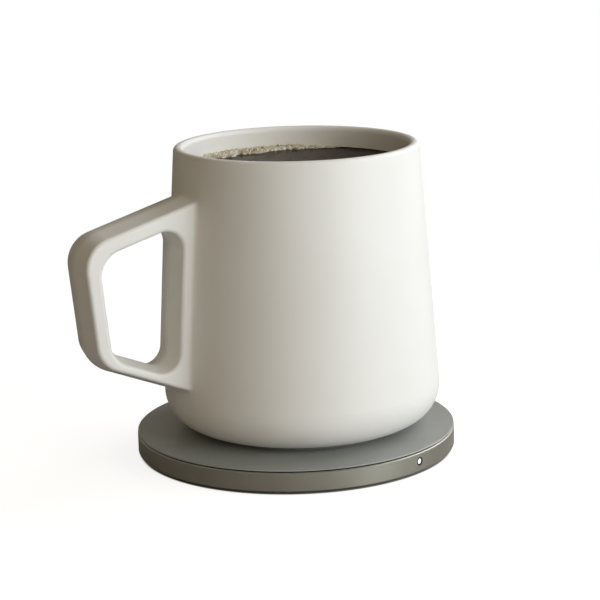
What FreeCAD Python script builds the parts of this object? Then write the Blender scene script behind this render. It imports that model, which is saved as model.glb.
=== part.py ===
import FreeCAD, Part
import math
import os
import re

import Sketcher

# An electric mug warmer: a thin round induction pad, and the ceramic mug that stands on it.
# The pad is a turned metal rim band closed by a satin top plate and a moulded base cover, with a
# coil, a ferrite layer and a control board between them. The mug has a closed-frame handle and
# a metal film under its base, in which the coil's field turns to heat.
# Millimetres, +Z up. The origin is the middle of the pad's resting face. The handle points along -X.

DRIVING_SIZES = [
    ("pad_diameter", 104.0, "outer diameter of the warming pad"),
    ("pad_turn", 290.0, "where the lamp stands round the pad, in degrees from +X; the socket is opposite"),
    ("mat_margin", 9.0, "band's outer face in to the grip mat"),
    ("fit_gap", 0.15, "clearance beside a piece dropped into its seat"),
    ("mat_proud", 0.8, "how far the mat holds the band off the table"),
    ("mat_sink", 0.4, "depth of the mat's seat in the cover"),
    ("groove_depth", 0.3, "ring grooves in the mat"),
    ("groove_width", 1.2, "ring grooves in the mat"),
    ("cover_sink", 0.2, "cover's underside above the band's lower edge"),
    ("cover_thick", 1.6, "base cover"),
    ("skirt_thick", 2.4, "band's wall beside the cover"),
    ("band_thick", 4.0, "band's wall at the ledge that carries the top plate"),
    ("band_chamfer", 0.35, "bright bevel on the band's edges"),
    ("shadow_gap", 0.35, "open line between the band and the top plate"),
    ("plate_edge", 0.45, "top plate's visible edge"),
    ("plate_plug", 1.35, "how far the plate's plug reaches below its edge"),
    ("plate_lap", 2.6, "band's outer face in to the plate's plug"),
    ("plate_bevel", 0.2, "bevel of the plate's upper edge"),
    ("screw_inset", 5.8, "band's outer face in to the cover screws"),
    ("screw_turn", 90.0, "first cover screw, in degrees from the lamp"),
    ("lug_radius", 2.7, "screw lugs inside the band"),
    ("screw_radius", 0.9, "cover screw's shank"),
    ("screw_length", 3.6, "cover screw's shank below its head"),
    ("head_radius", 1.8, "cover screw's head"),
    ("head_height", 0.8, "cover screw's head"),
    ("drive_radius", 0.8, "hexagon socket in a cover screw's head"),
    ("lamp_rise", 0.3, "centre of the lamp above the board"),
    ("lamp_radius", 0.85, "light pipe"),
    ("lamp_wall", 0.5, "dark ring round the light pipe"),
    ("socket_width", 8.9, "outside of the socket's shell"),
    ("socket_height", 3.2, "outside of the socket's shell"),
    ("socket_room", 0.2, "play above and below the socket's shell, which sets the pad's inner height"),
    ("socket_depth", 7.3, "length of the socket's shell"),
    ("socket_wall", 0.3, "sheet of the socket's shell"),
    ("tongue_width", 6.7, "contact tongue"),
    ("tongue_thick", 0.7, "contact tongue"),
    ("tongue_reach", 4.6, "contact tongue"),
    ("bezel_wall", 0.45, "liner between the shell and the band"),
    ("board_margin", 9.0, "band's outer face in to the ring-shaped board"),
    ("board_width", 9.5, "ring-shaped board, across the ring"),
    ("board_thick", 0.8, "circuit board"),
    ("post_height", 0.5, "posts on the cover that carry the board"),
    ("post_radius", 1.9, "posts on the cover that carry the board"),
    ("post_turn", 60.0, "first post, in degrees from the lamp"),
    ("board_screw_radius", 0.75, "board screw's shank"),
    ("board_head_radius", 1.4, "board screw's head"),
    ("board_head_height", 0.7, "board screw's head"),
    ("carrier_gap", 2.0, "board's inner edge in to the coil carrier"),
    ("carrier_floor", 0.6, "coil carrier's floor"),
    ("carrier_wall", 1.2, "coil carrier's walls"),
    ("hub_bore", 8.0, "open middle of the coil carrier"),
    ("shield_thick", 0.3, "aluminium sheet under the ferrite"),
    ("ferrite_thick", 0.6, "ferrite tiles"),
    ("ferrite_gap", 1.6, "straight channels between the ferrite tiles"),
    ("coil_inner", 9.6, "radius at which the winding starts"),
    ("coil_margin", 1.0, "least space between the winding and the carrier's wall"),
    ("coil_pitch", 2.7, "step from one turn of the winding to the next"),
    ("wire_width", 2.0, "stranded flat wire, seen from above"),
    ("wire_height", 1.2, "stranded flat wire, seen from the side"),
    ("lead_width", 1.0, "the winding's two flat leads"),
    ("lead_thick", 0.28, "the winding's two flat leads"),
    ("insulation_thick", 0.35, "disc between the winding and the top plate"),
    ("sensor_radius", 3.6, "soft cup under the temperature sensor"),
    ("bead_radius", 1.1, "temperature sensor"),
    ("mug_shift", 2.8, "mug's axis from the pad's axis, away from the handle"),
    ("mug_height", 92.6, "foot to rim"),
    ("mug_rim_diameter", 78.6, "outside of the rim"),
    ("mug_taper", 0.073, "growth of the radius for each millimetre down from the rim"),
    ("mug_wall", 3.2, "side wall"),
    ("mug_floor", 5.0, "floor at the middle"),
    ("mug_foot", 1.3, "how far the foot ring holds the base off the pad"),
    ("base_round", 12.0, "outer rounding between the side and the base"),
    ("well_round", 9.0, "inner rounding between the side and the floor"),
    ("lip_round", 1.5, "rounding of the rim"),
    ("foot_inset", 0.6, "foot ring inside the edge of the flat base"),
    ("foot_width", 3.0, "foot ring"),
    ("foot_sink", 0.8, "depth of the foot ring's groove"),
    ("film_margin", 1.9, "foot ring in to the heating film"),
    ("film_thick", 0.3, "heating film under the base"),
    ("film_cap_thick", 0.5, "sealing disc over the heating film"),
    ("handle_width", 16.5, "handle, across the bar"),
    ("handle_reach_top", 39.98, "rim's side to the outer bar's upper corner"),
    ("handle_reach_low", 36.28, "rim's side to the outer bar's lower corner"),
    ("handle_root_drop", 11.18, "rim down to the upper arm's line where it enters the wall"),
    ("handle_corner_drop", 23.36, "rim down to the outer bar's upper corner"),
    ("handle_corner_rise", 30.16, "foot up to the outer bar's lower corner"),
    ("handle_root_rise", 13.63, "foot up to the lower arm's line where it enters the wall"),
    ("bar_thick", 7.5, "outer bar of the handle"),
    ("upper_arm_thick", 7.9, "upper arm of the handle, measured upright"),
    ("lower_arm_thick", 5.9, "lower arm of the handle, measured upright"),
    ("web_thick", 4.6, "bar of the handle that lies on the mug's side"),
    ("handle_round", 11.0, "outer corners of the handle"),
    ("window_round", 7.0, "outer corners of the finger gap"),
    ("window_root_round", 4.5, "inner corners of the finger gap"),
    ("handle_slope", 7.2, "sloping part of the handle's surfaces, from each face towards the middle"),
    ("handle_fall", 1.5, "how far those surfaces fall from the middle to the faces"),
    ("crest_round", 6.0, "where those slopes begin"),
    ("edge_round", 1.3, "edges of the handle's faces"),
    ("joint_round", 1.4, "blend between the handle and the mug's side"),
]

doc = FreeCAD.newDocument("MugWarmer")
sheet = doc.addObject("Spreadsheet::Sheet", "Sizes")
for row, (alias, number, meaning) in enumerate(DRIVING_SIZES, start=1):
    sheet.set("A%d" % row, alias)
    sheet.set("B%d" % row, str(number))
    sheet.set("C%d" % row, meaning)
    sheet.setAlias("B%d" % row, alias)
doc.recompute()

subparts = []
results = 0
FASTENERS = 3


def bind(formula):
    """Turn a formula of size names into an expression that reads their cells."""
    return re.sub(r"\b([a-z]+(?:_[a-z]+)+)\b", r"Sizes.\1", formula)


def number(alias):
    """Read one driving size from the sheet."""
    return float(sheet.get(alias))


def worked_out(formula):
    """The number that a formula of size names comes to, kept in a cell of its own."""
    global results
    results += 1
    cell = "E%d" % results
    sheet.set(cell, "=" + re.sub(r"Sizes\.", "", bind(formula)))
    sheet.recompute()
    return float(sheet.get(cell))


def new_body(label):
    body = doc.addObject("PartDesign::Body", label)
    body.Label = label
    subparts.append(body)
    return body


def origin_plane(body, role):
    for feature in body.Origin.OriginFeatures:
        if feature.Role == role:
            return feature
    raise ValueError(role)


def new_sketch(body, name, role, level=None):
    """A sketch on one of the body's own origin planes, or level above it."""
    sketch = body.newObject("Sketcher::SketchObject", name)
    sketch.AttachmentSupport = [(origin_plane(body, role), "")]
    sketch.MapMode = "FlatFace"
    if level:
        sketch.setExpression("AttachmentOffset.Base.z", bind(level))
    return sketch


def place_point(sketch, geometry, end, across, up):
    for kind, formula in (("DistanceX", across), ("DistanceY", up)):
        constraint = sketch.addConstraint(Sketcher.Constraint(kind, geometry, end, 1.0))
        sketch.setExpression("Constraints[%d]" % constraint, bind(formula))


def draw_polygon(sketch, corners):
    """A closed outline of straight lines whose corners are pairs of formulas."""
    count = len(corners)
    start = []
    for index in range(count):
        angle = 2 * math.pi * index / count
        start.append(FreeCAD.Vector(math.cos(angle), math.sin(angle), 0))
    lines = []
    for index in range(count):
        line = Part.LineSegment(start[index], start[(index + 1) % count])
        lines.append(sketch.addGeometry(line, False))
    for index in range(count):
        following = lines[(index + 1) % count]
        sketch.addConstraint(Sketcher.Constraint("Coincident", lines[index], 2, following, 1))
    for line, (across, up) in zip(lines, corners):
        place_point(sketch, line, 1, across, up)


def draw_circle(sketch, across, up, radius):
    circle = Part.Circle(FreeCAD.Vector(0, 0, 0), FreeCAD.Vector(0, 0, 1), 1.0)
    index = sketch.addGeometry(circle, False)
    place_point(sketch, index, 3, across, up)
    constraint = sketch.addConstraint(Sketcher.Constraint("Radius", index, 1.0))
    sketch.setExpression("Constraints[%d]" % constraint, bind(radius))


def draw_slot_box(sketch, width, height, level):
    """A rectangle centred on the sketch's upright axis at the given level."""
    half = "(%s)/2" % width
    low = "%s - (%s)/2" % (level, height)
    high = "%s + (%s)/2" % (level, height)
    draw_polygon(sketch, [("-" + half, low), (half, low), (half, high), ("-" + half, high)])


def turned(body, name, corners, cut=False):
    """Revolve, or groove, an outline of (radius, level) corners about the body's upright axis."""
    sketch = new_sketch(body, name + "_profile", "XZ_Plane")
    draw_polygon(sketch, corners)
    kind = "PartDesign::Groove" if cut else "PartDesign::Revolution"
    feature = body.newObject(kind, name)
    feature.Profile = sketch
    feature.ReferenceAxis = (sketch, ["V_Axis"])
    feature.Angle = 360
    body.Tip = feature
    return feature


def pad(body, name, sketch, length, both_sides=False, backwards=False):
    feature = body.newObject("PartDesign::Pad", name)
    feature.Profile = sketch
    feature.setExpression("Length", bind(length))
    feature.Reversed = backwards
    if both_sides:
        feature.SideType = "Symmetric"
    body.Tip = feature
    return feature


def pocket(body, name, sketch, length, backwards=False):
    feature = body.newObject("PartDesign::Pocket", name)
    feature.Profile = sketch
    feature.setExpression("Length", bind(length))
    feature.Reversed = backwards
    body.Tip = feature
    return feature


def spread_round(body, name, feature, count):
    """Repeat a feature evenly round the body's upright axis."""
    pattern = body.newObject("PartDesign::PolarPattern", name)
    pattern.Originals = [feature]
    pattern.Axis = (origin_plane(body, "Z_Axis"), [""])
    pattern.Angle = 360
    pattern.Occurrences = count
    body.Tip = pattern
    return pattern


def rounded(body, name, radius, chosen):
    """Fillet the edges of the body's present shape for which chosen(edge) is true."""
    doc.recompute()
    base = body.Tip
    names = []
    for index, edge in enumerate(base.Shape.Edges, start=1):
        if chosen(edge):
            names.append("Edge%d" % index)
    if not names:
        raise ValueError("no edges to round for " + name)
    feature = body.newObject("PartDesign::Fillet", name)
    feature.Base = (base, names)
    feature.setExpression("Radius", bind(radius))
    body.Tip = feature
    doc.recompute()
    return feature


def sloped(body, name, reach, drop, chosen):
    """Cut a shallow slope beside the edges for which chosen(edge) is true: reach wide and drop deep."""
    doc.recompute()
    base = body.Tip
    names = ["Edge%d" % index for index, edge in enumerate(base.Shape.Edges, start=1) if chosen(edge)]
    if not names:
        raise ValueError("no edges to slope for " + name)
    feature = body.newObject("PartDesign::Chamfer", name)
    feature.Base = (base, names)
    feature.ChamferType = "Two distances"
    feature.setExpression("Size", bind(reach))
    feature.setExpression("Size2", bind(drop))
    body.Tip = feature
    doc.recompute()
    return feature


def bevelled(body, name, width, chosen):
    """Chamfer the edges of the body's present shape for which chosen(edge) is true."""
    doc.recompute()
    base = body.Tip
    names = []
    for index, edge in enumerate(base.Shape.Edges, start=1):
        if chosen(edge):
            names.append("Edge%d" % index)
    if not names:
        raise ValueError("no edges to bevel for " + name)
    feature = body.newObject("PartDesign::Chamfer", name)
    feature.Base = (base, names)
    feature.setExpression("Size", bind(width))
    body.Tip = feature
    doc.recompute()
    return feature


def circle_edge(radius, level):
    """A test for the full circle of this radius at this level about the upright axis."""
    def chosen(edge):
        if edge.Curve.TypeId != "Part::GeomCircle":
            return False
        if abs(edge.Curve.Radius - radius) > 0.01:
            return False
        return abs(edge.Curve.Center.z - level) < 0.01
    return chosen


def along_x_at(half_width):
    """A test for a straight edge that runs along X at this distance to either side."""
    def chosen(edge):
        box = edge.BoundBox
        if edge.Curve.TypeId != "Part::GeomLine" or box.XLength < 0.1 or box.YLength + box.ZLength > 0.01:
            return False
        return abs(abs(box.YMin) - half_width) < 0.01
    return chosen


def turn_with_pad(subpart):
    """The pad's pieces are drawn with the lamp along +X, then turned to the lamp's place."""
    subpart.setExpression("Placement.Rotation.Angle", bind("pad_turn"))
    subpart.Placement.Rotation.Axis = FreeCAD.Vector(0, 0, 1)


def stand_on_pad(subpart):
    """The mug's pieces are drawn about the mug's own axis, with its foot at zero."""
    subpart.setExpression("Placement.Base.x", bind("mug_shift"))
    subpart.setExpression("Placement.Base.z", bind(pad_top))


# Levels and radii that several pieces share, worked out from the driving sizes.
band_low = "mat_proud"
cover_low = "(mat_proud + cover_sink)"
cover_top = "(%s + cover_thick)" % cover_low
plate_low = "(%s + socket_height + socket_room)" % cover_top
edge_low = "(%s + plate_plug)" % plate_low
pad_top = "(%s + plate_edge)" % edge_low
band_top = "(%s - shadow_gap)" % edge_low
pad_radius = "(pad_diameter/2)"
ledge_radius = "(pad_diameter/2 - band_thick)"
mat_radius = "(pad_diameter/2 - mat_margin)"
board_low = "(%s + post_height)" % cover_top
board_top = "(%s + board_thick)" % board_low
board_outer = "(pad_diameter/2 - board_margin)"
board_inner = "(%s - board_width)" % board_outer
lamp_level = "(%s + lamp_rise)" % board_top
socket_level = "(%s + socket_height/2 + socket_room/2)" % cover_top
socket_mouth = "(pad_diameter/2 - 0.35)"
liner_width = "(socket_width + 2*bezel_wall)"
liner_height = "(socket_height + 2*bezel_wall)"
carrier_radius = "(%s - carrier_gap)" % board_inner
shield_low = "(%s + carrier_floor)" % cover_top
ferrite_low = "(%s + shield_thick)" % shield_low
coil_low = "(%s + ferrite_thick)" % ferrite_low
insulation_low = "(%s - insulation_thick)" % plate_low
screw_across = "(pad_diameter/2 - screw_inset)*cos(screw_turn)"
screw_along = "(pad_diameter/2 - screw_inset)*sin(screw_turn)"
post_across = "(%s - board_width/2)*cos(post_turn)" % board_outer
post_along = "(%s - board_width/2)*sin(post_turn)" % board_outer
rim_radius = "(mug_rim_diameter/2)"
base_radius = "(mug_rim_diameter/2 + mug_taper*(mug_height - mug_foot))"
foot_radius = "(%s - base_round - foot_inset)" % base_radius
film_radius = "(%s - foot_width - film_margin)" % foot_radius


def make_rim_band():
    """Turned metal ring: skirt round the cover, ledge under the plate, screw lugs, two openings."""
    body = new_body("rim_band")
    outer = pad_radius
    turned(body, "band_ring", [
        (outer, band_low),
        (outer, band_top),
        (outer + " - plate_lap", band_top),
        (outer + " - plate_lap", plate_low),
        (ledge_radius, plate_low),
        (ledge_radius, cover_top),
        (outer + " - skirt_thick", cover_top),
        (outer + " - skirt_thick", band_low),
    ])
    lug = new_sketch(body, "band_lug_outline", "XY_Plane", cover_top)
    draw_circle(lug, screw_across, screw_along, "lug_radius")
    lug_pad = pad(body, "band_lug", lug, "%s - %s" % (plate_low, cover_top))
    spread_round(body, "band_lugs", lug_pad, FASTENERS)
    doc.recompute()
    pilot = new_sketch(body, "band_pilot_outline", "XY_Plane", cover_top)
    draw_circle(pilot, screw_across, screw_along, "screw_radius + 0.05")
    pilot_cut = pocket(body, "band_pilot", pilot, "%s - %s - 0.4" % (plate_low, cover_top), backwards=True)
    spread_round(body, "band_pilots", pilot_cut, FASTENERS)
    lamp = new_sketch(body, "band_lamp_outline", "YZ_Plane", pad_radius + " + 1")
    draw_circle(lamp, "0", lamp_level, "lamp_radius + lamp_wall + 0.05")
    pocket(body, "band_lamp_hole", lamp, "band_thick + 2")
    slot = new_sketch(body, "band_socket_outline", "YZ_Plane", "-(pad_diameter/2 + 1)")
    draw_slot_box(slot, liner_width + " + 0.1", liner_height + " + 0.1", socket_level)
    pocket(body, "band_socket_hole", slot, "band_thick + 2", backwards=True)
    upper = circle_edge(worked_out(pad_radius), worked_out(band_top))
    lower = circle_edge(worked_out(pad_radius), worked_out(band_low))
    bevelled(body, "band_bevels", "band_chamfer", lambda edge: upper(edge) or lower(edge))
    turn_with_pad(body)
    return body


def make_top_plate():
    """Satin disc with a plug that drops into the band and leaves a dark line round its edge."""
    body = new_body("top_plate")
    outer = "(pad_diameter/2 - 0.1)"
    plug = "(pad_diameter/2 - plate_lap - fit_gap)"
    turned(body, "plate_disc", [
        ("0", plate_low),
        (plug, plate_low),
        (plug, edge_low),
        (outer, edge_low),
        (outer, pad_top),
        ("0", pad_top),
    ])
    edge = circle_edge(worked_out(outer), worked_out(pad_top))
    bevelled(body, "plate_edge_bevel", "plate_bevel", edge)
    turn_with_pad(body)
    return body


def make_base_cover():
    """Moulded cover pressed up against the band, with sunk screw seats and posts for the board."""
    body = new_body("base_cover")
    outer = "(pad_diameter/2 - skirt_thick - fit_gap)"
    mat_seat = mat_radius + " + fit_gap"
    turned(body, "cover_disc", [
        ("0", cover_low + " + mat_sink"),
        (mat_seat, cover_low + " + mat_sink"),
        (mat_seat, cover_low),
        (outer, cover_low),
        (outer, cover_top),
        ("0", cover_top),
    ])
    seat = new_sketch(body, "cover_seat_outline", "XY_Plane", cover_low)
    draw_circle(seat, screw_across, screw_along, "head_radius + 0.2")
    seat_cut = pocket(body, "cover_seat", seat, "head_height + 0.1", backwards=True)
    spread_round(body, "cover_seats", seat_cut, FASTENERS)
    hole = new_sketch(body, "cover_hole_outline", "XY_Plane", cover_low)
    draw_circle(hole, screw_across, screw_along, "screw_radius + 0.1")
    hole_cut = pocket(body, "cover_hole", hole, "cover_thick", backwards=True)
    spread_round(body, "cover_holes", hole_cut, FASTENERS)
    post = new_sketch(body, "cover_post_outline", "XY_Plane", cover_top)
    draw_circle(post, post_across, post_along, "post_radius")
    post_pad = pad(body, "cover_post", post, "post_height")
    spread_round(body, "cover_posts", post_pad, FASTENERS)
    bore = new_sketch(body, "cover_bore_outline", "XY_Plane", board_low)
    draw_circle(bore, post_across, post_along, "board_screw_radius + 0.05")
    bore_cut = pocket(body, "cover_bore", bore, "post_height + cover_thick/2 - 0.2")
    spread_round(body, "cover_bores", bore_cut, FASTENERS)
    turn_with_pad(body)
    return body


def make_grip_mat():
    """Silicone mat glued in the cover's seat, with two ring grooves in its resting face."""
    body = new_body("grip_mat")
    mat_top = cover_low + " + mat_sink"
    turned(body, "mat_disc", [
        ("0", "0"),
        (mat_radius + " - mat_proud/3", "0"),
        (mat_radius, "mat_proud/3"),
        (mat_radius, mat_top),
        ("0", mat_top),
    ])
    for index, share in enumerate((0.92, 0.56)):
        middle = mat_radius + "*%.2f" % share
        turned(body, "mat_groove_%d" % index, [
            (middle + " - groove_width/2", "0 - 0.1"),
            (middle + " + groove_width/2", "0 - 0.1"),
            (middle + " + groove_width/4", "groove_depth"),
            (middle + " - groove_width/4", "groove_depth"),
        ], cut=True)
    turn_with_pad(body)
    return body


def make_cover_screws():
    """Equal hexagon-socket screws, sunk in the cover, with their shanks up in the band's lugs."""
    body = new_body("cover_screws")
    low = cover_low + " + 0.05"
    head = new_sketch(body, "screw_head_outline", "XY_Plane", low)
    draw_circle(head, screw_across, screw_along, "head_radius")
    head_pad = pad(body, "screw_head", head, "head_height")
    shank = new_sketch(body, "screw_shank_outline", "XY_Plane", low + " + head_height")
    draw_circle(shank, screw_across, screw_along, "screw_radius")
    shank_pad = pad(body, "screw_shank", shank, "screw_length")
    drive = new_sketch(body, "screw_drive_outline", "XY_Plane", low)
    corners = []
    for index in range(6):
        corners.append((
            "%s + drive_radius*cos(%d)" % (screw_across, 60 * index),
            "%s + drive_radius*sin(%d)" % (screw_along, 60 * index),
        ))
    draw_polygon(drive, corners)
    drive_cut = pocket(body, "screw_drive", drive, "head_height*0.6", backwards=True)
    screws = spread_round(body, "screws", head_pad, FASTENERS)
    screws.Originals = [head_pad, shank_pad, drive_cut]
    turn_with_pad(body)
    return body


def make_board_screws():
    """Equal plain screws that hold the board down on the cover's posts."""
    body = new_body("board_screws")
    head = new_sketch(body, "board_screw_head_outline", "XY_Plane", board_top)
    draw_circle(head, post_across, post_along, "board_head_radius")
    head_pad = pad(body, "board_screw_head", head, "board_head_height")
    shank = new_sketch(body, "board_screw_shank_outline", "XY_Plane", board_top)
    draw_circle(shank, post_across, post_along, "board_screw_radius")
    length = "board_thick + post_height + cover_thick/3"
    shank_pad = pad(body, "board_screw_shank", shank, length, backwards=True)
    screws = spread_round(body, "small_screws", head_pad, FASTENERS)
    screws.Originals = [head_pad, shank_pad]
    turn_with_pad(body)
    return body


def make_lamp():
    """White light pipe in a dark ring through the band, lit by a small side-looking lamp chip."""
    pipe = new_body("lamp_pipe")
    outline = new_sketch(pipe, "pipe_outline", "YZ_Plane", "pad_diameter/2 - band_thick - 0.3")
    draw_circle(outline, "0", lamp_level, "lamp_radius")
    pad(pipe, "pipe_rod", outline, "band_thick + 0.2")
    tip = worked_out("pad_diameter/2 - 0.1")
    bevelled(pipe, "pipe_tip", "lamp_radius*0.25", lambda edge: abs(edge.BoundBox.XMin - tip) < 0.01)
    turn_with_pad(pipe)
    ring = new_body("lamp_ring")
    outline = new_sketch(ring, "ring_outline", "YZ_Plane", ledge_radius)
    draw_circle(outline, "0", lamp_level, "lamp_radius + lamp_wall")
    draw_circle(outline, "0", lamp_level, "lamp_radius + 0.03")
    pad(ring, "ring_tube", outline, "band_thick - 0.05")
    turn_with_pad(ring)
    chip = new_body("lamp_chip")
    outline = new_sketch(chip, "chip_outline", "XY_Plane", board_top)
    near = "(pad_diameter/2 - band_thick - 0.9)"
    draw_polygon(outline, [
        (near, "-1.5"),
        (near, "1.5"),
        (near + " - 1.6", "1.5"),
        (near + " - 1.6", "-1.5"),
    ])
    pad(chip, "chip_block", outline, "1.1")
    turn_with_pad(chip)
    return [pipe, ring, chip]


def make_socket():
    """Power socket in the band opposite the lamp: liner, sheet shell and contact tongue."""
    rim = "-" + socket_mouth
    bezel = new_body("socket_liner")
    outline = new_sketch(bezel, "liner_outline", "YZ_Plane", rim)
    draw_slot_box(outline, liner_width, liner_height, socket_level)
    pad(bezel, "liner_block", outline, "plate_lap - 0.35 - fit_gap")
    bore = new_sketch(bezel, "liner_bore_outline", "YZ_Plane", rim)
    draw_slot_box(bore, "socket_width + 0.04", "socket_height + 0.04", socket_level)
    pocket(bezel, "liner_bore", bore, "plate_lap", backwards=True)
    rounded(bezel, "liner_bore_round", "socket_height*0.42", along_x_at(worked_out("socket_width/2 + 0.02")))
    rounded(bezel, "liner_round", "socket_height*0.42 + bezel_wall", along_x_at(worked_out(liner_width) / 2))
    turn_with_pad(bezel)
    shell = new_body("socket_shell")
    outline = new_sketch(shell, "shell_outline", "YZ_Plane", rim)
    draw_slot_box(outline, "socket_width", "socket_height", socket_level)
    pad(shell, "shell_block", outline, "socket_depth")
    bore = new_sketch(shell, "shell_bore_outline", "YZ_Plane", rim)
    draw_slot_box(bore, "socket_width - 2*socket_wall", "socket_height - 2*socket_wall", socket_level)
    pocket(shell, "shell_bore", bore, "socket_depth - 0.8", backwards=True)
    rounded(shell, "shell_bore_round", "socket_height*0.42 - socket_wall",
            along_x_at(worked_out("socket_width/2 - socket_wall")))
    rounded(shell, "shell_round", "socket_height*0.42", along_x_at(worked_out("socket_width/2")))
    turn_with_pad(shell)
    tongue = new_body("socket_tongue")
    outline = new_sketch(tongue, "tongue_outline", "YZ_Plane", rim + " + socket_depth - 0.8")
    draw_slot_box(outline, "tongue_width", "tongue_thick", socket_level)
    pad(tongue, "tongue_blade", outline, "tongue_reach", backwards=True)
    turn_with_pad(tongue)
    return [bezel, shell, tongue]


def make_main_board():
    """Ring-shaped circuit board with a tab at the socket and one at the lamp."""
    body = new_body("main_board")
    ring = new_sketch(body, "board_outline", "XY_Plane", board_low)
    draw_circle(ring, "0", "0", board_outer)
    draw_circle(ring, "0", "0", board_inner)
    pad(body, "board_ring", ring, "board_thick")
    tab = new_sketch(body, "board_tab_outline", "XY_Plane", board_low)
    tab_end = "-(pad_diameter/2 - band_thick - 0.6)"
    draw_polygon(tab, [
        ("-(%s - 2)" % board_outer, "-(socket_width/2 + 2.4)"),
        (tab_end, "-(socket_width/2 + 2.4)"),
        (tab_end, "socket_width/2 + 2.4"),
        ("-(%s - 2)" % board_outer, "socket_width/2 + 2.4"),
    ])
    pad(body, "board_tab", tab, "board_thick")
    lamp = new_sketch(body, "board_lamp_outline", "XY_Plane", board_low)
    lamp_end = "(pad_diameter/2 - band_thick - 0.8)"
    draw_polygon(lamp, [
        (board_outer + " - 2", "-2.5"),
        (lamp_end, "-2.5"),
        (lamp_end, "2.5"),
        (board_outer + " - 2", "2.5"),
    ])
    pad(body, "board_lamp_tab", lamp, "board_thick")
    doc.recompute()
    notch = new_sketch(body, "board_notch_outline", "XY_Plane", board_low)
    inner = "-(%s - socket_depth - 0.1)" % socket_mouth
    draw_polygon(notch, [
        (inner, "-(socket_width/2 + 0.1)"),
        ("-(pad_diameter/2)", "-(socket_width/2 + 0.1)"),
        ("-(pad_diameter/2)", "socket_width/2 + 0.1"),
        (inner, "socket_width/2 + 0.1"),
    ])
    pocket(body, "board_notch", notch, "board_thick", backwards=True)
    hole = new_sketch(body, "board_hole_outline", "XY_Plane", board_low)
    draw_circle(hole, post_across, post_along, "board_screw_radius + 0.1")
    hole_cut = pocket(body, "board_hole", hole, "board_thick", backwards=True)
    spread_round(body, "board_holes", hole_cut, FASTENERS)
    turn_with_pad(body)
    return body


def make_block(label, angle, length, width, height):
    """A component on the board, turned so that its length runs round the ring."""
    block = doc.addObject("Part::Box", label)
    block.Label = label
    block.setExpression("Length", bind(width))
    block.setExpression("Width", bind(length))
    block.setExpression("Height", bind(height))
    turn = "(pad_turn + %s)" % angle
    block.Placement.Rotation.Axis = FreeCAD.Vector(0, 0, 1)
    block.setExpression("Placement.Rotation.Angle", bind(turn))
    inner = "(%s - board_width/2 - (%s)/2)" % (board_outer, width)
    block.setExpression("Placement.Base.x", bind("%s*cos(%s) + (%s)/2*sin(%s)" % (inner, turn, length, turn)))
    block.setExpression("Placement.Base.y", bind("%s*sin(%s) - (%s)/2*cos(%s)" % (inner, turn, length, turn)))
    block.setExpression("Placement.Base.z", bind(board_top))
    return block


def make_board_pieces():
    """Power chip, control chip and choke, and one row of ceramic capacitors."""
    subparts.append(make_block("power_chip", "150", "5", "5", "0.9"))
    subparts.append(make_block("control_chip", "30", "4", "4", "0.9"))
    subparts.append(make_block("power_choke", "210", "6", "6", "1.6"))
    row = []
    for index in range(6):
        row.append(make_block("capacitor_%d" % index, "%d" % (106 + 5 * index), "1.6", "3.2", "1.2"))
    group = doc.addObject("Part::Compound", "board_capacitors")
    group.Label = "board_capacitors"
    group.Links = row
    subparts.append(group)


def make_coil_carrier():
    """Moulded dish that holds the shield, the ferrite and the winding in line."""
    body = new_body("coil_carrier")
    outer = carrier_radius
    turned(body, "carrier_dish", [
        ("hub_bore/2", cover_top),
        (outer, cover_top),
        (outer, insulation_low),
        (outer + " - carrier_wall", insulation_low),
        (outer + " - carrier_wall", shield_low),
        ("hub_bore/2 + carrier_wall", shield_low),
        ("hub_bore/2 + carrier_wall", insulation_low),
        ("hub_bore/2", insulation_low),
    ])
    doc.recompute()
    gate = new_sketch(body, "carrier_gate_outline", "YZ_Plane", carrier_radius + " + 1")
    draw_polygon(gate, [
        ("-1.2", ferrite_low),
        ("1.2", ferrite_low),
        ("1.2", insulation_low + " + 1"),
        ("-1.2", insulation_low + " + 1"),
    ])
    pocket(body, "carrier_gate", gate, "carrier_wall + 2")
    turn_with_pad(body)
    return body


def make_shield_plate():
    """Thin aluminium sheet that keeps the field off the cover's side."""
    body = new_body("shield_plate")
    inner = "(hub_bore/2 + carrier_wall + fit_gap)"
    outer = "(%s - carrier_wall - fit_gap)" % carrier_radius
    turned(body, "shield_sheet", [
        (inner, shield_low),
        (outer, shield_low),
        (outer, ferrite_low),
        (inner, ferrite_low),
    ])
    turn_with_pad(body)
    return body


def make_ferrite_tiles():
    """Six ferrite sectors with straight channels between them."""
    body = new_body("ferrite_tiles")
    inner = "(hub_bore/2 + carrier_wall + fit_gap)"
    outer = "(%s - carrier_wall - fit_gap)" % carrier_radius
    turned(body, "ferrite_ring", [
        (inner, ferrite_low),
        (outer, ferrite_low),
        (outer, coil_low),
        (inner, coil_low),
    ])
    doc.recompute()
    channel = new_sketch(body, "channel_outline", "XY_Plane", ferrite_low)
    draw_polygon(channel, [
        ("0", "-ferrite_gap/2"),
        (carrier_radius, "-ferrite_gap/2"),
        (carrier_radius, "ferrite_gap/2"),
        ("0", "ferrite_gap/2"),
    ])
    cut = pocket(body, "channel", channel, "ferrite_thick", backwards=True)
    spread_round(body, "channels", cut, 6)
    turn_with_pad(body)
    return body


def spiral_points(offset):
    """Half-turn arcs of a flat spiral: each half turn swaps between two centres half a pitch apart."""
    pitch = number("coil_pitch")
    first = number("coil_inner")
    room = worked_out(carrier_radius + " - carrier_wall - coil_margin") - first
    arcs = []
    for half_turn in range(2 * int(room / pitch)):
        centre = 0.0 if half_turn % 2 == 0 else pitch / 2
        radius = first + offset + half_turn * pitch / 2
        side = 1 if half_turn % 2 == 0 else -1
        start = FreeCAD.Vector(centre + side * radius, 0, 0)
        middle = FreeCAD.Vector(centre, side * radius, 0)
        end = FreeCAD.Vector(centre - side * radius, 0, 0)
        arcs.append((start, middle, end))
    return arcs


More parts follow.
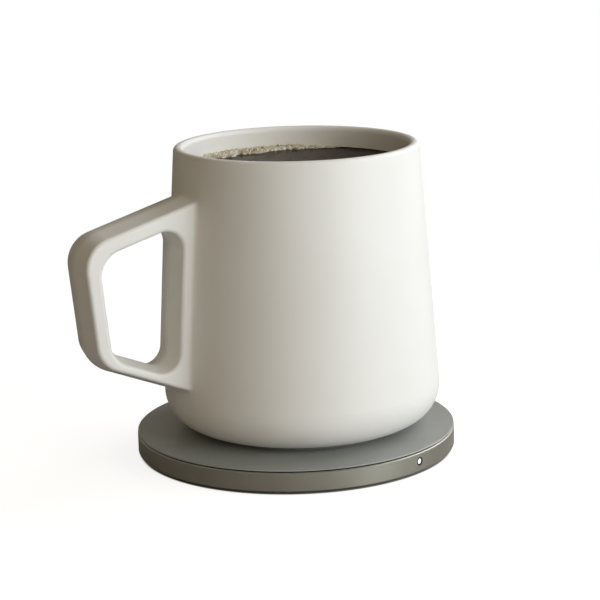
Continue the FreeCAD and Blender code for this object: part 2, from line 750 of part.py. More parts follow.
def make_coil_winding():
    """One unbroken flat-wire spiral, drawn as the strip between two spirals of half-turn arcs."""
    half = number("wire_width") / 2
    outside = spiral_points(half)
    inside = spiral_points(-half)
    edges = [Part.Arc(*arc).toShape() for arc in outside]
    edges.append(Part.LineSegment(outside[-1][2], inside[-1][2]).toShape())
    edges.extend(Part.Arc(*arc).toShape() for arc in reversed(inside))
    edges.append(Part.LineSegment(inside[0][0], outside[0][0]).toShape())
    strip = Part.Face(Part.Wire(Part.__sortEdges__(edges)))
    winding = doc.addObject("Part::Feature", "coil_winding")
    winding.Label = "coil_winding"
    winding.Shape = strip.extrude(FreeCAD.Vector(0, 0, number("wire_height")))
    print("coil: gap between turns %.2f mm" % (number("coil_pitch") - number("wire_width")))
    winding.Placement.Rotation.Axis = FreeCAD.Vector(0, 0, 1)
    winding.setExpression("Placement.Rotation.Angle", bind("pad_turn"))
    winding.setExpression("Placement.Base.z", bind(coil_low))
    subparts.append(winding)
    return winding


def make_coil_leads():
    """Two flat leads along the lamp's direction: one under the winding in a channel, one over it."""
    body = new_body("coil_leads")
    ends = spiral_points(0.0)
    first = "%.3f" % ends[0][0].x
    last = "%.3f" % ends[-1][2].x
    coil_top = "(%s + wire_height)" % coil_low
    shelf = "(%s + 1.2)" % board_inner
    sketch = new_sketch(body, "lead_outline", "XZ_Plane")
    draw_polygon(sketch, [
        (first + " - 0.5", ferrite_low),
        (board_inner + " - 0.6", ferrite_low),
        (board_inner + " - 0.1", board_top),
        (shelf, board_top),
        (shelf, board_top + " + lead_thick"),
        (board_inner + " - 0.2", board_top + " + lead_thick"),
        (board_inner + " - 0.7", ferrite_low + " + lead_thick"),
        (first + " + 0.5", ferrite_low + " + lead_thick"),
        (first + " + 0.5", coil_low),
        (first + " - 0.5", coil_low),
    ])
    draw_polygon(sketch, [
        (last + " - 0.8", coil_top),
        (carrier_radius + " + 0.5", coil_top),
        (shelf + " + 1.2", board_top),
        (shelf + " + 2.2", board_top),
        (shelf + " + 2.2", board_top + " + lead_thick"),
        (shelf + " + 1.4", board_top + " + lead_thick"),
        (carrier_radius + " + 0.7", coil_top + " + lead_thick"),
        (last + " - 0.8", coil_top + " + lead_thick"),
    ])
    pad(body, "lead_strips", sketch, "lead_width", both_sides=True)
    turn_with_pad(body)
    return body


def make_insulation():
    """Mica disc between the winding and the top plate."""
    body = new_body("insulation_disc")
    turned(body, "insulation_sheet", [
        ("hub_bore/2", insulation_low),
        (carrier_radius, insulation_low),
        (carrier_radius, plate_low),
        ("hub_bore/2", plate_low),
    ])
    turn_with_pad(body)
    return body


def make_sensor():
    """Temperature bead pressed against the top plate by a soft cup in the carrier's middle."""
    cup = new_body("sensor_cup")
    bead_low = "(%s - bead_radius)" % plate_low
    turned(cup, "sensor_cup_block", [
        ("0", cover_top),
        ("sensor_radius", cover_top),
        ("sensor_radius*0.8", bead_low),
        ("0", bead_low),
    ])
    turn_with_pad(cup)
    bead = new_body("sensor_bead")
    turned(bead, "sensor_bead_block", [
        ("0", bead_low),
        ("bead_radius", bead_low),
        ("bead_radius", plate_low),
        ("0", plate_low),
    ])
    turn_with_pad(bead)
    return [cup, bead]


def make_mug_foot():
    """Silicone ring in the base's groove; the mug stands on it."""
    body = new_body("foot_ring")
    bevel = "mug_foot/3"
    turned(body, "foot_ring_block", [
        (foot_radius + " - foot_width + " + bevel, "0"),
        (foot_radius + " - " + bevel, "0"),
        (foot_radius, bevel),
        (foot_radius, "mug_foot + foot_sink"),
        (foot_radius + " - foot_width", "mug_foot + foot_sink"),
        (foot_radius + " - foot_width", bevel),
    ])
    stand_on_pad(body)
    return body


def make_heating_film():
    """Metal film under the floor, sealed by a thin disc flush with the base."""
    film = new_body("heating_film")
    turned(film, "film_sheet", [
        ("0", "mug_foot + film_cap_thick"),
        (film_radius, "mug_foot + film_cap_thick"),
        (film_radius, "mug_foot + film_cap_thick + film_thick"),
        ("0", "mug_foot + film_cap_thick + film_thick"),
    ])
    stand_on_pad(film)
    cap = new_body("film_cap")
    turned(cap, "film_cap_sheet", [
        ("0", "mug_foot"),
        (film_radius, "mug_foot"),
        (film_radius, "mug_foot + film_cap_thick"),
        ("0", "mug_foot + film_cap_thick"),
    ])
    stand_on_pad(cap)
    return [film, cap]


def handle_corners():
    """Outer outline and finger gap of the handle, as corners in the plane of the mug's axis."""
    rim = rim_radius
    root = "(%s - mug_wall - 0.5)" % rim
    reach_top = "(%s + handle_reach_top)" % rim
    reach_low = "(%s + handle_reach_low)" % rim
    root_high = "(mug_height - handle_root_drop)"
    corner_high = "(mug_height - handle_corner_drop)"
    fall = "((%s - %s)/(%s - %s))" % (root_high, corner_high, reach_top, root)
    climb = "((handle_corner_rise - handle_root_rise)/(%s - %s))" % (reach_low, root)
    lean = "((%s - %s)/(%s - handle_corner_rise))" % (reach_top, reach_low, corner_high)
    outer = [
        ("-%s" % root, root_high),
        ("-%s" % reach_top, corner_high),
        ("-%s" % reach_low, "handle_corner_rise"),
        ("-%s" % root, "handle_root_rise"),
    ]
    in_top = "((bar_thick + %s*upper_arm_thick)/(1 + %s*%s))" % (lean, lean, fall)
    in_low = "((bar_thick - %s*lower_arm_thick)/(1 - %s*%s))" % (lean, lean, climb)
    side = "(%s + mug_taper*mug_height + web_thick)" % rim
    meet_high = "((%s - upper_arm_thick - %s*(%s - %s))/(1 - %s*mug_taper))" % (
        corner_high, fall, side, reach_top, fall)
    meet_low = "((handle_corner_rise + lower_arm_thick + %s*(%s - %s))/(1 + %s*mug_taper))" % (
        climb, side, reach_low, climb)
    window = [
        ("-(%s - mug_taper*%s)" % (side, meet_high), meet_high),
        ("-(%s - %s)" % (reach_top, in_top),
         "%s - upper_arm_thick + %s*%s" % (corner_high, fall, in_top)),
        ("-(%s - %s)" % (reach_low, in_low),
         "handle_corner_rise + lower_arm_thick - %s*%s" % (climb, in_low)),
        ("-(%s - mug_taper*%s)" % (side, meet_low), meet_low),
    ]
    return outer, window


def cross_edges(shape):
    """Where the handle's corner edges, which run along Y, stand in X and Z."""
    places = set()
    for edge in shape.Edges:
        box = edge.BoundBox
        if box.YLength > 1 and box.XLength + box.ZLength < 0.01:
            places.add((round(box.XMin, 2), round(box.ZMin, 2)))
    return places


def cross_edge_at(places):
    """A test for an edge along Y that stands at one of these places."""
    def chosen(edge):
        box = edge.BoundBox
        if box.YLength < 1 or box.XLength + box.ZLength > 0.01:
            return False
        return (round(box.XMin, 2), round(box.ZMin, 2)) in places
    return chosen


def make_mug_body():
    """Slip-cast mug with its handle: the handle's bar and arms run into the wall with a soft crease."""
    body = new_body("mug_body")
    outer, window = handle_corners()
    sketch = new_sketch(body, "handle_outline", "XZ_Plane")
    draw_polygon(sketch, outer)
    slab = pad(body, "handle_slab", sketch, "handle_width/2")
    doc.recompute()
    rim = worked_out(rim_radius)
    root = rim - number("mug_wall") - 0.5
    outer_corners = {place for place in cross_edges(slab.Shape) if place[0] < -root - 1}
    rounded(body, "handle_corners", "handle_round", cross_edge_at(outer_corners))
    before = cross_edges(body.Tip.Shape)
    sketch = new_sketch(body, "window_outline", "XZ_Plane")
    draw_polygon(sketch, window)
    gap = pocket(body, "window", sketch, "handle_width + 2")
    gap.SideType = "Symmetric"
    doc.recompute()
    window_corners = cross_edges(gap.Shape) - before
    middle = sum(place[0] for place in window_corners) / 4
    outside = {place for place in window_corners if place[0] < middle}
    window_height = "(mug_height - handle_corner_drop - handle_corner_rise - upper_arm_thick - lower_arm_thick)"
    rounded(body, "window_outer_corners", "min(window_round; %s*0.4)" % window_height, cross_edge_at(outside))
    rounded(body, "window_inner_corners", "min(window_root_round; %s*0.4)" % window_height,
            cross_edge_at(window_corners - outside))
    half = number("handle_width") / 2

    def at_level(level):
        def chosen(edge):
            box = edge.BoundBox
            return box.YLength < 0.01 and abs(box.YMin - level) < 0.01 and box.XMin < -root - 0.1
        return chosen

    sloped(body, "handle_sides", "handle_slope", "handle_fall", at_level(-half))
    rounded(body, "handle_crest", "crest_round", at_level(number("handle_slope") - half))
    rounded(body, "handle_edges", "edge_round", at_level(-half))
    twin = body.newObject("PartDesign::Mirrored", "handle_twin")
    twin.MirrorPlane = (origin_plane(body, "XZ_Plane"), [""])
    twin.TransformMode = "Whole shape"
    body.Tip = twin
    turned(body, "mug_outside", [
        ("0", "mug_foot"),
        (base_radius, "mug_foot"),
        ("mug_rim_diameter/2", "mug_height"),
        ("0", "mug_height"),
    ])
    taper = number("mug_taper")
    foot = number("mug_foot")
    base = worked_out(base_radius)
    rounded(body, "mug_base_round", "base_round", circle_edge(base, foot))

    def on_side(edge):
        point = edge.valueAt((edge.FirstParameter + edge.LastParameter) / 2)
        side = rim + taper * (number("mug_height") - point.z)
        inside = abs(math.hypot(point.x, point.y) - side) < 0.02
        return inside and point.x < -rim / 2 and abs(point.y) < half + 0.1 and foot + 1 < point.z

    rounded(body, "handle_joint", "joint_round", on_side)
    well = number("mug_foot") + number("mug_floor")
    turned(body, "mug_inside", [
        ("0", "mug_foot + mug_floor"),
        (base_radius + " - mug_wall - mug_taper*mug_floor", "mug_foot + mug_floor"),
        ("mug_rim_diameter/2 - mug_wall", "mug_height"),
        ("mug_rim_diameter/2 - mug_wall", "mug_height + 1"),
        ("0", "mug_height + 1"),
    ], cut=True)
    inner = base - number("mug_wall") - taper * number("mug_floor")
    rounded(body, "mug_well_round", "well_round", circle_edge(inner, well))
    lip_out = circle_edge(rim, number("mug_height"))
    lip_in = circle_edge(rim - number("mug_wall"), number("mug_height"))
    rounded(body, "mug_lip", "lip_round", lambda edge: lip_out(edge) or lip_in(edge))
    turned(body, "foot_groove", [
        (foot_radius + " - foot_width - 0.05", "mug_foot - 0.5"),
        (foot_radius + " + 0.05", "mug_foot - 0.5"),
        (foot_radius + " + 0.05", "mug_foot + foot_sink"),
        (foot_radius + " - foot_width - 0.05", "mug_foot + foot_sink"),
    ], cut=True)
    turned(body, "film_recess", [
        ("0", "mug_foot - 0.5"),
        (film_radius + " + 0.1", "mug_foot - 0.5"),
        (film_radius + " + 0.1", "mug_foot + film_cap_thick + film_thick"),
        ("0", "mug_foot + film_cap_thick + film_thick"),
    ], cut=True)
    stand_on_pad(body)
    return body


make_rim_band()
make_top_plate()
make_base_cover()
make_grip_mat()
make_cover_screws()
make_lamp()
make_socket()
make_main_board()
make_board_screws()
make_board_pieces()
make_coil_carrier()
make_shield_plate()
make_ferrite_tiles()
make_coil_winding()
make_coil_leads()
make_insulation()
make_sensor()
make_mug_body()
make_mug_foot()
make_heating_film()
doc.recompute()

for item in doc.Objects:
    if "Invalid" in item.State or "Error" in item.State:
        raise RuntimeError("%s did not build: %s" % (item.Name, item.State))
os.makedirs("parts", exist_ok=True)
total = 0
for subpart in subparts:
    shape = subpart.Shape
    if shape.isNull() or not shape.isValid() or not shape.Solids:
        raise RuntimeError("%s has no sound solid" % subpart.Label)
    count = len(shape.tessellate(0.1)[1])
    total += count
    shape.exportStep("parts/%s.step" % subpart.Label)
    box = shape.BoundBox
    print("%-18s %2d solid(s) %9.1f mm3 %6d facets  z %.2f..%.2f" % (
        subpart.Label, len(shape.Solids), shape.Volume, count, box.ZMin, box.ZMax))
print("nodes", len(subparts), "facets", total)
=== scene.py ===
"""Looks of an electric mug warmer and the mug that stands on it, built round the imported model."""

import math

import bmesh
import bpy
from mathutils import Matrix, Vector
from mathutils import noise as field


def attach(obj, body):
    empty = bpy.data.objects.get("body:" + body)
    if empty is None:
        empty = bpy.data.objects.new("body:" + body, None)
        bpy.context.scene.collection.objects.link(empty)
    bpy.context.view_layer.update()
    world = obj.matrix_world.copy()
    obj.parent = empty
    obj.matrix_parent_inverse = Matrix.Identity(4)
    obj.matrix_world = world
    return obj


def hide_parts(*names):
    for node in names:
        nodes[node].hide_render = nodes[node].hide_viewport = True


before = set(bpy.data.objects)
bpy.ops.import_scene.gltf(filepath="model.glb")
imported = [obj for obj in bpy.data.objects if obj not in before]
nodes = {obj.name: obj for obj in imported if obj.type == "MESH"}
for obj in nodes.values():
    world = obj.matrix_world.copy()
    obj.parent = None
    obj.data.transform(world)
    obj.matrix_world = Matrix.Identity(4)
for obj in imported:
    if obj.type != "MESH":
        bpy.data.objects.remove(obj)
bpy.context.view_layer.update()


# The table and the room round it. A pale, matt sheet runs on into a white
# background, two wide soft lamps on the right do nearly all the lighting, and a
# weak warm one in front and a weak one behind fill the shadows.

TABLE_RADIUS = 2.4
TABLE_LEVEL = -0.0001
TABLE_SIDES = 64
TABLE_TONE = (0.42, 0.41, 0.40, 1)
TABLE_TONE_PALE = (0.45, 0.44, 0.43, 1)
SHEET_GLOW = 0.84
PAD_EDGE = 0.0517
FOOT_LINE = 0.0008
GLOW_NEAR = 0.09
GLOW_FAR = 0.34
ROOM_WARMTH = (1.0, 0.80, 0.46, 1)
ROOM_GLOW = 0.115
ROOM_SHINE = 0.20
LAMP_AIM = 0.05
WHITE = (1, 1, 1, 1)

CAMERA_TURN = math.radians(-28.0)
CAMERA_DISTANCE = 0.6510
CAMERA_RISE = math.radians(13.1)
CAMERA_ROLL = math.radians(-1.51)
CAMERA_SIDE = 0.00244
CAMERA_AIM = 0.04896
CAMERA_LENS = 120.14
SENSOR = 36.0


def put(tree, kind, inputs=None, **settings):
    """One node: its settings, and its inputs by name, each a value or another node's output."""
    node = tree.nodes.new(kind)
    for name, value in settings.items():
        setattr(node, name, value)
    for name, value in (inputs or {}).items():
        if isinstance(value, bpy.types.NodeSocket):
            tree.links.new(value, node.inputs[name])
        else:
            node.inputs[name].default_value = value
    return node


def link_object(made):
    """Puts a new object in the scene."""
    bpy.context.scene.collection.objects.link(made)
    return made


def mesh_piece(name, points, faces, smooth=True):
    """A mesh object at the origin, from its points and faces."""
    mesh = bpy.data.meshes.new(name)
    mesh.from_pydata(points, [], faces)
    mesh.validate()
    mesh.polygons.foreach_set("use_smooth", [smooth] * len(mesh.polygons))
    mesh.update()
    return link_object(bpy.data.objects.new(name, mesh))


def table_sheet():
    """White to the eye, pale grey to the lamps, with the shadow of what stands on it."""
    finish = bpy.data.materials.new("table_sheet")
    finish.use_nodes = True
    tree = finish.node_tree
    tree.nodes.clear()
    place = put(tree, "ShaderNodeTexCoord").outputs["Object"]
    reach = put(tree, "ShaderNodeVectorMath", {0: place}, operation="LENGTH").outputs["Value"]
    spread = put(tree, "ShaderNodeMapRange", {
        "Value": reach, "From Min": GLOW_NEAR, "From Max": GLOW_FAR,
    }, interpolation_type="SMOOTHSTEP").outputs["Result"]
    fibre = put(tree, "ShaderNodeTexNoise", {"Vector": place, "Scale": 60.0, "Detail": 4.0})
    tone = put(tree, "ShaderNodeMix", {
        "Factor": fibre.outputs["Fac"], "A": TABLE_TONE, "B": TABLE_TONE_PALE,
    }, data_type="RGBA").outputs["Result"]
    matt = put(tree, "ShaderNodeBsdfDiffuse", {"Color": tone}).outputs["BSDF"]
    outside = put(tree, "ShaderNodeMapRange", {
        "Value": reach, "From Min": PAD_EDGE - FOOT_LINE, "From Max": PAD_EDGE,
        "To Max": SHEET_GLOW,
    }).outputs["Result"]
    glow = put(tree, "ShaderNodeEmission", {
        "Color": WHITE, "Strength": outside,
    }).outputs["Emission"]
    near = put(tree, "ShaderNodeAddShader", {0: matt, 1: glow}).outputs["Shader"]
    far = put(tree, "ShaderNodeEmission", {"Color": WHITE, "Strength": 1.0}).outputs["Emission"]
    seen = put(tree, "ShaderNodeMixShader", {0: spread, 1: near, 2: far}).outputs["Shader"]
    ray = put(tree, "ShaderNodeLightPath")
    clear = put(tree, "ShaderNodeMath", {
        0: ray.outputs["Is Camera Ray"], 1: ray.outputs["Is Transmission Ray"],
    }, operation="MAXIMUM").outputs["Value"]
    shown = put(tree, "ShaderNodeMixShader", {0: clear, 1: matt, 2: seen}).outputs["Shader"]
    put(tree, "ShaderNodeOutputMaterial", {"Surface": shown})
    return finish


corners = []
for side in range(TABLE_SIDES):
    turn = math.tau * side / TABLE_SIDES
    corners.append((TABLE_RADIUS * math.cos(turn), TABLE_RADIUS * math.sin(turn), TABLE_LEVEL))
table = mesh_piece("table", corners, [list(range(TABLE_SIDES))], smooth=False)
table.data.materials.append(table_sheet())

# Shiny pieces see only the share ROOM_SHINE of the white room, and the table's plain grey.
room = bpy.data.worlds.new("room")
room.use_nodes = True
room.node_tree.nodes.clear()
ray = put(room.node_tree, "ShaderNodeLightPath")
shown_rays = put(room.node_tree, "ShaderNodeMath", {
    0: ray.outputs["Is Camera Ray"], 1: ray.outputs["Is Transmission Ray"],
}, operation="MAXIMUM").outputs["Value"]
shine = put(room.node_tree, "ShaderNodeMath", {
    0: ray.outputs["Is Glossy Ray"], 1: ROOM_SHINE,
}, operation="MULTIPLY").outputs["Value"]
white_rays = put(room.node_tree, "ShaderNodeMath", {
    0: shown_rays, 1: shine,
}, operation="MAXIMUM").outputs["Value"]
dim = put(room.node_tree, "ShaderNodeBackground", {"Color": ROOM_WARMTH, "Strength": ROOM_GLOW})
bright = put(room.node_tree, "ShaderNodeBackground", {"Color": WHITE, "Strength": 1.0})
both = put(room.node_tree, "ShaderNodeMixShader", {
    0: white_rays, 1: dim.outputs["Background"], 2: bright.outputs["Background"],
})
put(room.node_tree, "ShaderNodeOutputWorld", {"Surface": both.outputs["Shader"]})
bpy.context.scene.world = room


def soft_lamp(name, turn, rise, distance, size, power, tone):
    """A square lamp that faces the object, turned round it from the camera's side to the right."""
    lamp = bpy.data.lights.new(name, "AREA")
    lamp.size = size
    lamp.energy = power
    lamp.color = tone
    stand = link_object(bpy.data.objects.new(name, lamp))
    heading = CAMERA_TURN + turn
    back = Vector((math.sin(heading) * math.cos(rise), -math.cos(heading) * math.cos(rise),
                   math.sin(rise)))
    aim = Vector((0, 0, LAMP_AIM))
    stand.location = aim + back * distance
    stand.rotation_euler = back.to_track_quat("Z", "Y").to_euler()


soft_lamp("window_lamp", turn=math.radians(57), rise=math.radians(9), distance=0.95, size=0.75,
          power=9.3, tone=(0.91, 0.97, 1.0))
soft_lamp("side_lamp", turn=math.radians(118), rise=math.radians(38), distance=0.95, size=0.70,
          power=4.8, tone=(0.94, 0.94, 1.0))
soft_lamp("front_lamp", turn=math.radians(-4), rise=math.radians(26), distance=1.25, size=0.85,
          power=2.2, tone=(1.0, 0.86, 0.66))
soft_lamp("back_lamp", turn=math.radians(150), rise=math.radians(20), distance=1.25, size=0.85,
          power=1.9, tone=(1.0, 0.98, 0.94))

camera = link_object(bpy.data.objects.new("camera", bpy.data.cameras.new("camera")))
camera.data.lens = CAMERA_LENS
camera.data.sensor_width = SENSOR
camera.data.clip_start = 0.05
camera.data.clip_end = 10.0
along = Vector((0, math.cos(CAMERA_RISE), -math.sin(CAMERA_RISE)))
stand_point = Vector((CAMERA_SIDE, 0, CAMERA_AIM)) - along * CAMERA_DISTANCE
tilt = Matrix.Rotation(math.pi / 2 - CAMERA_RISE, 4, "X") @ Matrix.Rotation(CAMERA_ROLL, 4, "Z")
camera.matrix_world = Matrix.Rotation(CAMERA_TURN, 4, "Z") @ Matrix.Translation(stand_point) @ tilt
bpy.context.scene.camera = camera
bpy.context.scene.view_settings.view_transform = "Standard"


# The rim band is the pad's outer wall, turned from aluminium, blasted with fine
# beads and dyed a warm gunmetal. Its two edges are cut bright after the dye; the
# lighter tone on the top cut is also a painted highlight line along the chamfer.

BAND_DYE = (0.345, 0.332, 0.282, 1)
BAND_DYE_WORN = (0.390, 0.376, 0.322, 1)
# A lighter tone on both cut edges; on the top edge it is also a painted highlight line.
CUT_TONE_AND_HIGHLIGHT = (0.40, 0.39, 0.34, 1)
# Painted shade: black on the band's ledge and the plate's lower edge, the dark gap between them.
GAP_SHADE_BLACK = (0.010, 0.010, 0.010, 1)
LEDGE_LEVEL = 0.00697
LEDGE_RADIUS = 0.05161
CUT_LOW = 0.00110
CUT_HIGH = 0.00672
EDGE_BLUR = 0.00004
BAND_METAL = 0.90


def new_finish(name):
    """A material, its node tree, its one shader and the piece's own coordinates."""
    finish = bpy.data.materials.new(name)
    finish.use_nodes = True
    tree = finish.node_tree
    place = put(tree, "ShaderNodeTexCoord").outputs["Object"]
    return finish, tree, tree.nodes["Principled BSDF"], place


def grain(tree, place, size, detail=3.0, rough=0.5):
    """Noise whose blotches are about this many metres across."""
    return put(tree, "ShaderNodeTexNoise", {
        "Vector": place, "Scale": 1.0 / size, "Detail": detail, "Roughness": rough,
    }).outputs["Fac"]


def spread_between(tree, value, low, high, start=0.3, end=0.7):
    """Stretches a value from start..end onto low..high."""
    return put(tree, "ShaderNodeMapRange", {
        "Value": value, "From Min": start, "From Max": end, "To Min": low, "To Max": high,
    }).outputs["Result"]


def blended(tree, share, first, second):
    """The first colour where share is 0 and the second where it is 1."""
    return put(tree, "ShaderNodeMix", {
        "Factor": share, "A": first, "B": second,
    }, data_type="RGBA").outputs["Result"]


def coloured(tree, shader, share, first, second):
    """Gives the shader the first colour where share is 0 and the second where it is 1."""
    tree.links.new(blended(tree, share, first, second), shader.inputs["Base Color"])


def relief(tree, shader, height, depth, strength=0.5):
    """A bump of this many metres on the shader, over any bump that is there already."""
    bump = put(tree, "ShaderNodeBump", {"Height": height, "Distance": depth, "Strength": strength})
    if shader.inputs["Normal"].is_linked:
        below = shader.inputs["Normal"].links[0].from_socket
        tree.links.new(below, bump.inputs["Normal"])
    tree.links.new(bump.outputs["Normal"], shader.inputs["Normal"])


def split_place(tree, place):
    """The x, y and z of the piece's own coordinates."""
    return put(tree, "ShaderNodeSeparateXYZ", {"Vector": place}).outputs


def step_over(tree, value, edge, width):
    """0 below the edge and 1 above it, over this width."""
    return put(tree, "ShaderNodeMapRange", {
        "Value": value, "From Min": edge - width / 2, "From Max": edge + width / 2,
    }).outputs["Result"]


def sum_of(tree, kind, *values):
    """One of the Math node's sums on one or two values."""
    inputs = {index: value for index, value in enumerate(values)}
    return put(tree, "ShaderNodeMath", inputs, operation=kind).outputs["Value"]


def finish_node(name, finish):
    """Gives a CAD piece its finish."""
    slots = nodes[name].data.materials
    slots.clear()
    slots.append(finish)


def from_axis(tree, place):
    """How far a point lies from the pad's axis."""
    level = put(tree, "ShaderNodeVectorMath", {
        0: place, 1: (1, 1, 0),
    }, operation="MULTIPLY").outputs["Vector"]
    return put(tree, "ShaderNodeVectorMath", {0: level}, operation="LENGTH").outputs["Value"]


def dyed_band():
    """Bead-blasted, dyed aluminium; two lighter cut edges, the top one also a painted highlight;
    the ledge painted black as shade in the gap.
    """
    finish, tree, shader, place = new_finish("dyed_band")
    height = split_place(tree, place)["Z"]
    # The top cut's lighter tone is a painted highlight along the chamfer; the low cut is a real
    # cut.
    top_cut_highlight = step_over(tree, height, CUT_HIGH, EDGE_BLUR)
    low_cut = spread_between(tree, step_over(tree, height, CUT_LOW, EDGE_BLUR), 1, 0, 0, 1)
    cut = sum_of(tree, "MAXIMUM", top_cut_highlight, low_cut)
    cloud = spread_between(tree, grain(tree, place, 0.016), 0, 1)
    dye = blended(tree, cloud, BAND_DYE, BAND_DYE_WORN)
    within = spread_between(tree, from_axis(tree, place), 1, 0,
                            LEDGE_RADIUS - EDGE_BLUR, LEDGE_RADIUS)
    # The ledge's top is painted black, painted shade for the gap under the plate.
    gap_shade_ledge = sum_of(tree, "MULTIPLY", step_over(tree, height, LEDGE_LEVEL, EDGE_BLUR / 2), within)
    shine = spread_between(tree, gap_shade_ledge, BAND_METAL, 0.0, 0, 1)
    coloured(tree, shader, gap_shade_ledge, blended(tree, cut, dye, CUT_TONE_AND_HIGHLIGHT), GAP_SHADE_BLACK)
    tree.links.new(shine, shader.inputs["Metallic"])
    dull = spread_between(tree, grain(tree, place, 0.005), 0.44, 0.50)
    tree.links.new(spread_between(tree, cut, dull, 0.42, 0, 1), shader.inputs["Roughness"])
    relief(tree, shader, grain(tree, place, 0.00022, 2.0), 0.00001, 0.35)
    return finish


finish_node("rim_band", dyed_band())


# The base cover is a black nylon moulding with a spark-eroded skin, let into the
# band from below. Three short hexagon-socket screws draw it up to the band's lugs.

COVER_BLACK = (0.026, 0.026, 0.027, 1)
COVER_SHEEN = (0.044, 0.043, 0.042, 1)
SCREW_OXIDE = (0.120, 0.115, 0.108, 1)
SCREW_BARE = (0.330, 0.325, 0.310, 1)


def moulded_plastic(name, colour, lighter, skin, rough):
    """Moulded plastic: this skin's pit size in metres, faint flow clouds and rubbed patches."""
    finish, tree, shader, place = new_finish(name)
    flow = spread_between(tree, grain(tree, place, 0.011, 4.0), 0, 1)
    coloured(tree, shader, flow, colour, lighter)
    rubbed = spread_between(tree, grain(tree, place, 0.004), rough, rough + 0.12)
    tree.links.new(rubbed, shader.inputs["Roughness"])
    pits = put(tree, "ShaderNodeTexVoronoi", {"Vector": place, "Scale": 1.0 / skin})
    relief(tree, shader, pits.outputs["Distance"], skin * 0.06, 0.5)
    return finish


def worked_metal(name, colour, second, run, rough, metallic=1.0):
    """Metal with fine streaks: run is how far each streak reaches along x, y and z, in metres."""
    finish, tree, shader, place = new_finish(name)
    drawn = put(tree, "ShaderNodeMapping", {
        "Vector": place, "Scale": [1.0 / length for length in run],
    }).outputs["Vector"]
    streak = grain(tree, drawn, 1.0, 4.0, 0.6)
    stained = spread_between(tree, grain(tree, place, 0.003, 4.0), 0, 1)
    coloured(tree, shader, stained, colour, second)
    tree.links.new(spread_between(tree, streak, rough, rough + 0.16), shader.inputs["Roughness"])
    shader.inputs["Metallic"].default_value = metallic
    relief(tree, shader, streak, 0.00001, 0.3)
    return finish


finish_node("base_cover", moulded_plastic(
    "spark_nylon", COVER_BLACK, COVER_SHEEN, skin=0.00045, rough=0.55))
finish_node("cover_screws", worked_metal(
    "black_oxide_screw", SCREW_OXIDE, SCREW_BARE, run=(0.0002, 0.0002, 0.0010), rough=0.30))


# The grip mat is a cast silicone disc bonded into the cover, and the pad stands on
# it. Small pips of the same silicone stand in its two ring grooves.

MAT_GREY = (0.046, 0.047, 0.048, 1)
MAT_DUST = (0.120, 0.116, 0.108, 1)
PIP_RINGS = ((0.03956, 108), (0.02408, 66))
PIP_CENTRE = 0.00030
PIP_RADIUS = 0.00042
PIP_FLATNESS = 0.55
PIP_SPREAD = 0.08


def roughened(tree, shader, place, size, low, high):
    """Roughness from low to high, in patches of this many metres."""
    patches = spread_between(tree, grain(tree, place, size), low, high)
    tree.links.new(patches, shader.inputs["Roughness"])


def cast_silicone(name, colour, dust, dusty=0.35):
    """Matt silicone with a soft sheen, a faint tooth and a little dust in clouds."""
    finish, tree, shader, place = new_finish(name)
    specks = spread_between(tree, grain(tree, place, 0.0006, 5.0, 0.7), 0, 1, 0.55, 0.75)
    clouds = spread_between(tree, grain(tree, place, 0.014, 3.0), 0, dusty)
    coloured(tree, shader, sum_of(tree, "MULTIPLY", specks, clouds), colour, dust)
    roughened(tree, shader, place, 0.006, 0.62, 0.74)
    shader.inputs["Sheen Weight"].default_value = 0.15
    shader.inputs["Sheen Roughness"].default_value = 0.5
    relief(tree, shader, grain(tree, place, 0.00030, 2.0), 0.00001, 0.35)
    return finish


def rule_tree(name, sizes):
    """A Geometry Nodes tree with a shape input and named sizes, and its input node's outputs."""
    tree = bpy.data.node_groups.new(name, "GeometryNodeTree")
    tree.interface.new_socket("Geometry", in_out="INPUT", socket_type="NodeSocketGeometry")
    for label, value in sizes.items():
        kind = "NodeSocketInt" if isinstance(value, int) else "NodeSocketFloat"
        tree.interface.new_socket(label, in_out="INPUT", socket_type=kind)
    tree.interface.new_socket("Geometry", in_out="OUTPUT", socket_type="NodeSocketGeometry")
    return tree, put(tree, "NodeGroupInput").outputs


def ruled_piece(name, tree, shape, finish, sizes, source, smooth=True):
    """Ends the tree, runs it on the source with these sizes, and keeps a plain mesh of it."""
    solid = put(tree, "GeometryNodeRealizeInstances", {"Geometry": shape}).outputs["Geometry"]
    painted = put(tree, "GeometryNodeSetMaterial", {"Geometry": solid, "Material": finish})
    put(tree, "NodeGroupOutput", {"Geometry": painted.outputs["Geometry"]})
    rule = source.modifiers.new("rule", "NODES")
    rule.node_group = tree
    for entry in tree.interface.items_tree:
        if entry.in_out == "INPUT" and entry.name in sizes:
            rule[entry.identifier] = sizes[entry.name]
    made = source.evaluated_get(bpy.context.evaluated_depsgraph_get())
    mesh = bpy.data.meshes.new_from_object(made)
    source.modifiers.remove(rule)
    bpy.data.objects.remove(source)
    mesh.name = name
    mesh.polygons.foreach_set("use_smooth", [smooth] * len(mesh.polygons))
    return link_object(bpy.data.objects.new(name, mesh))


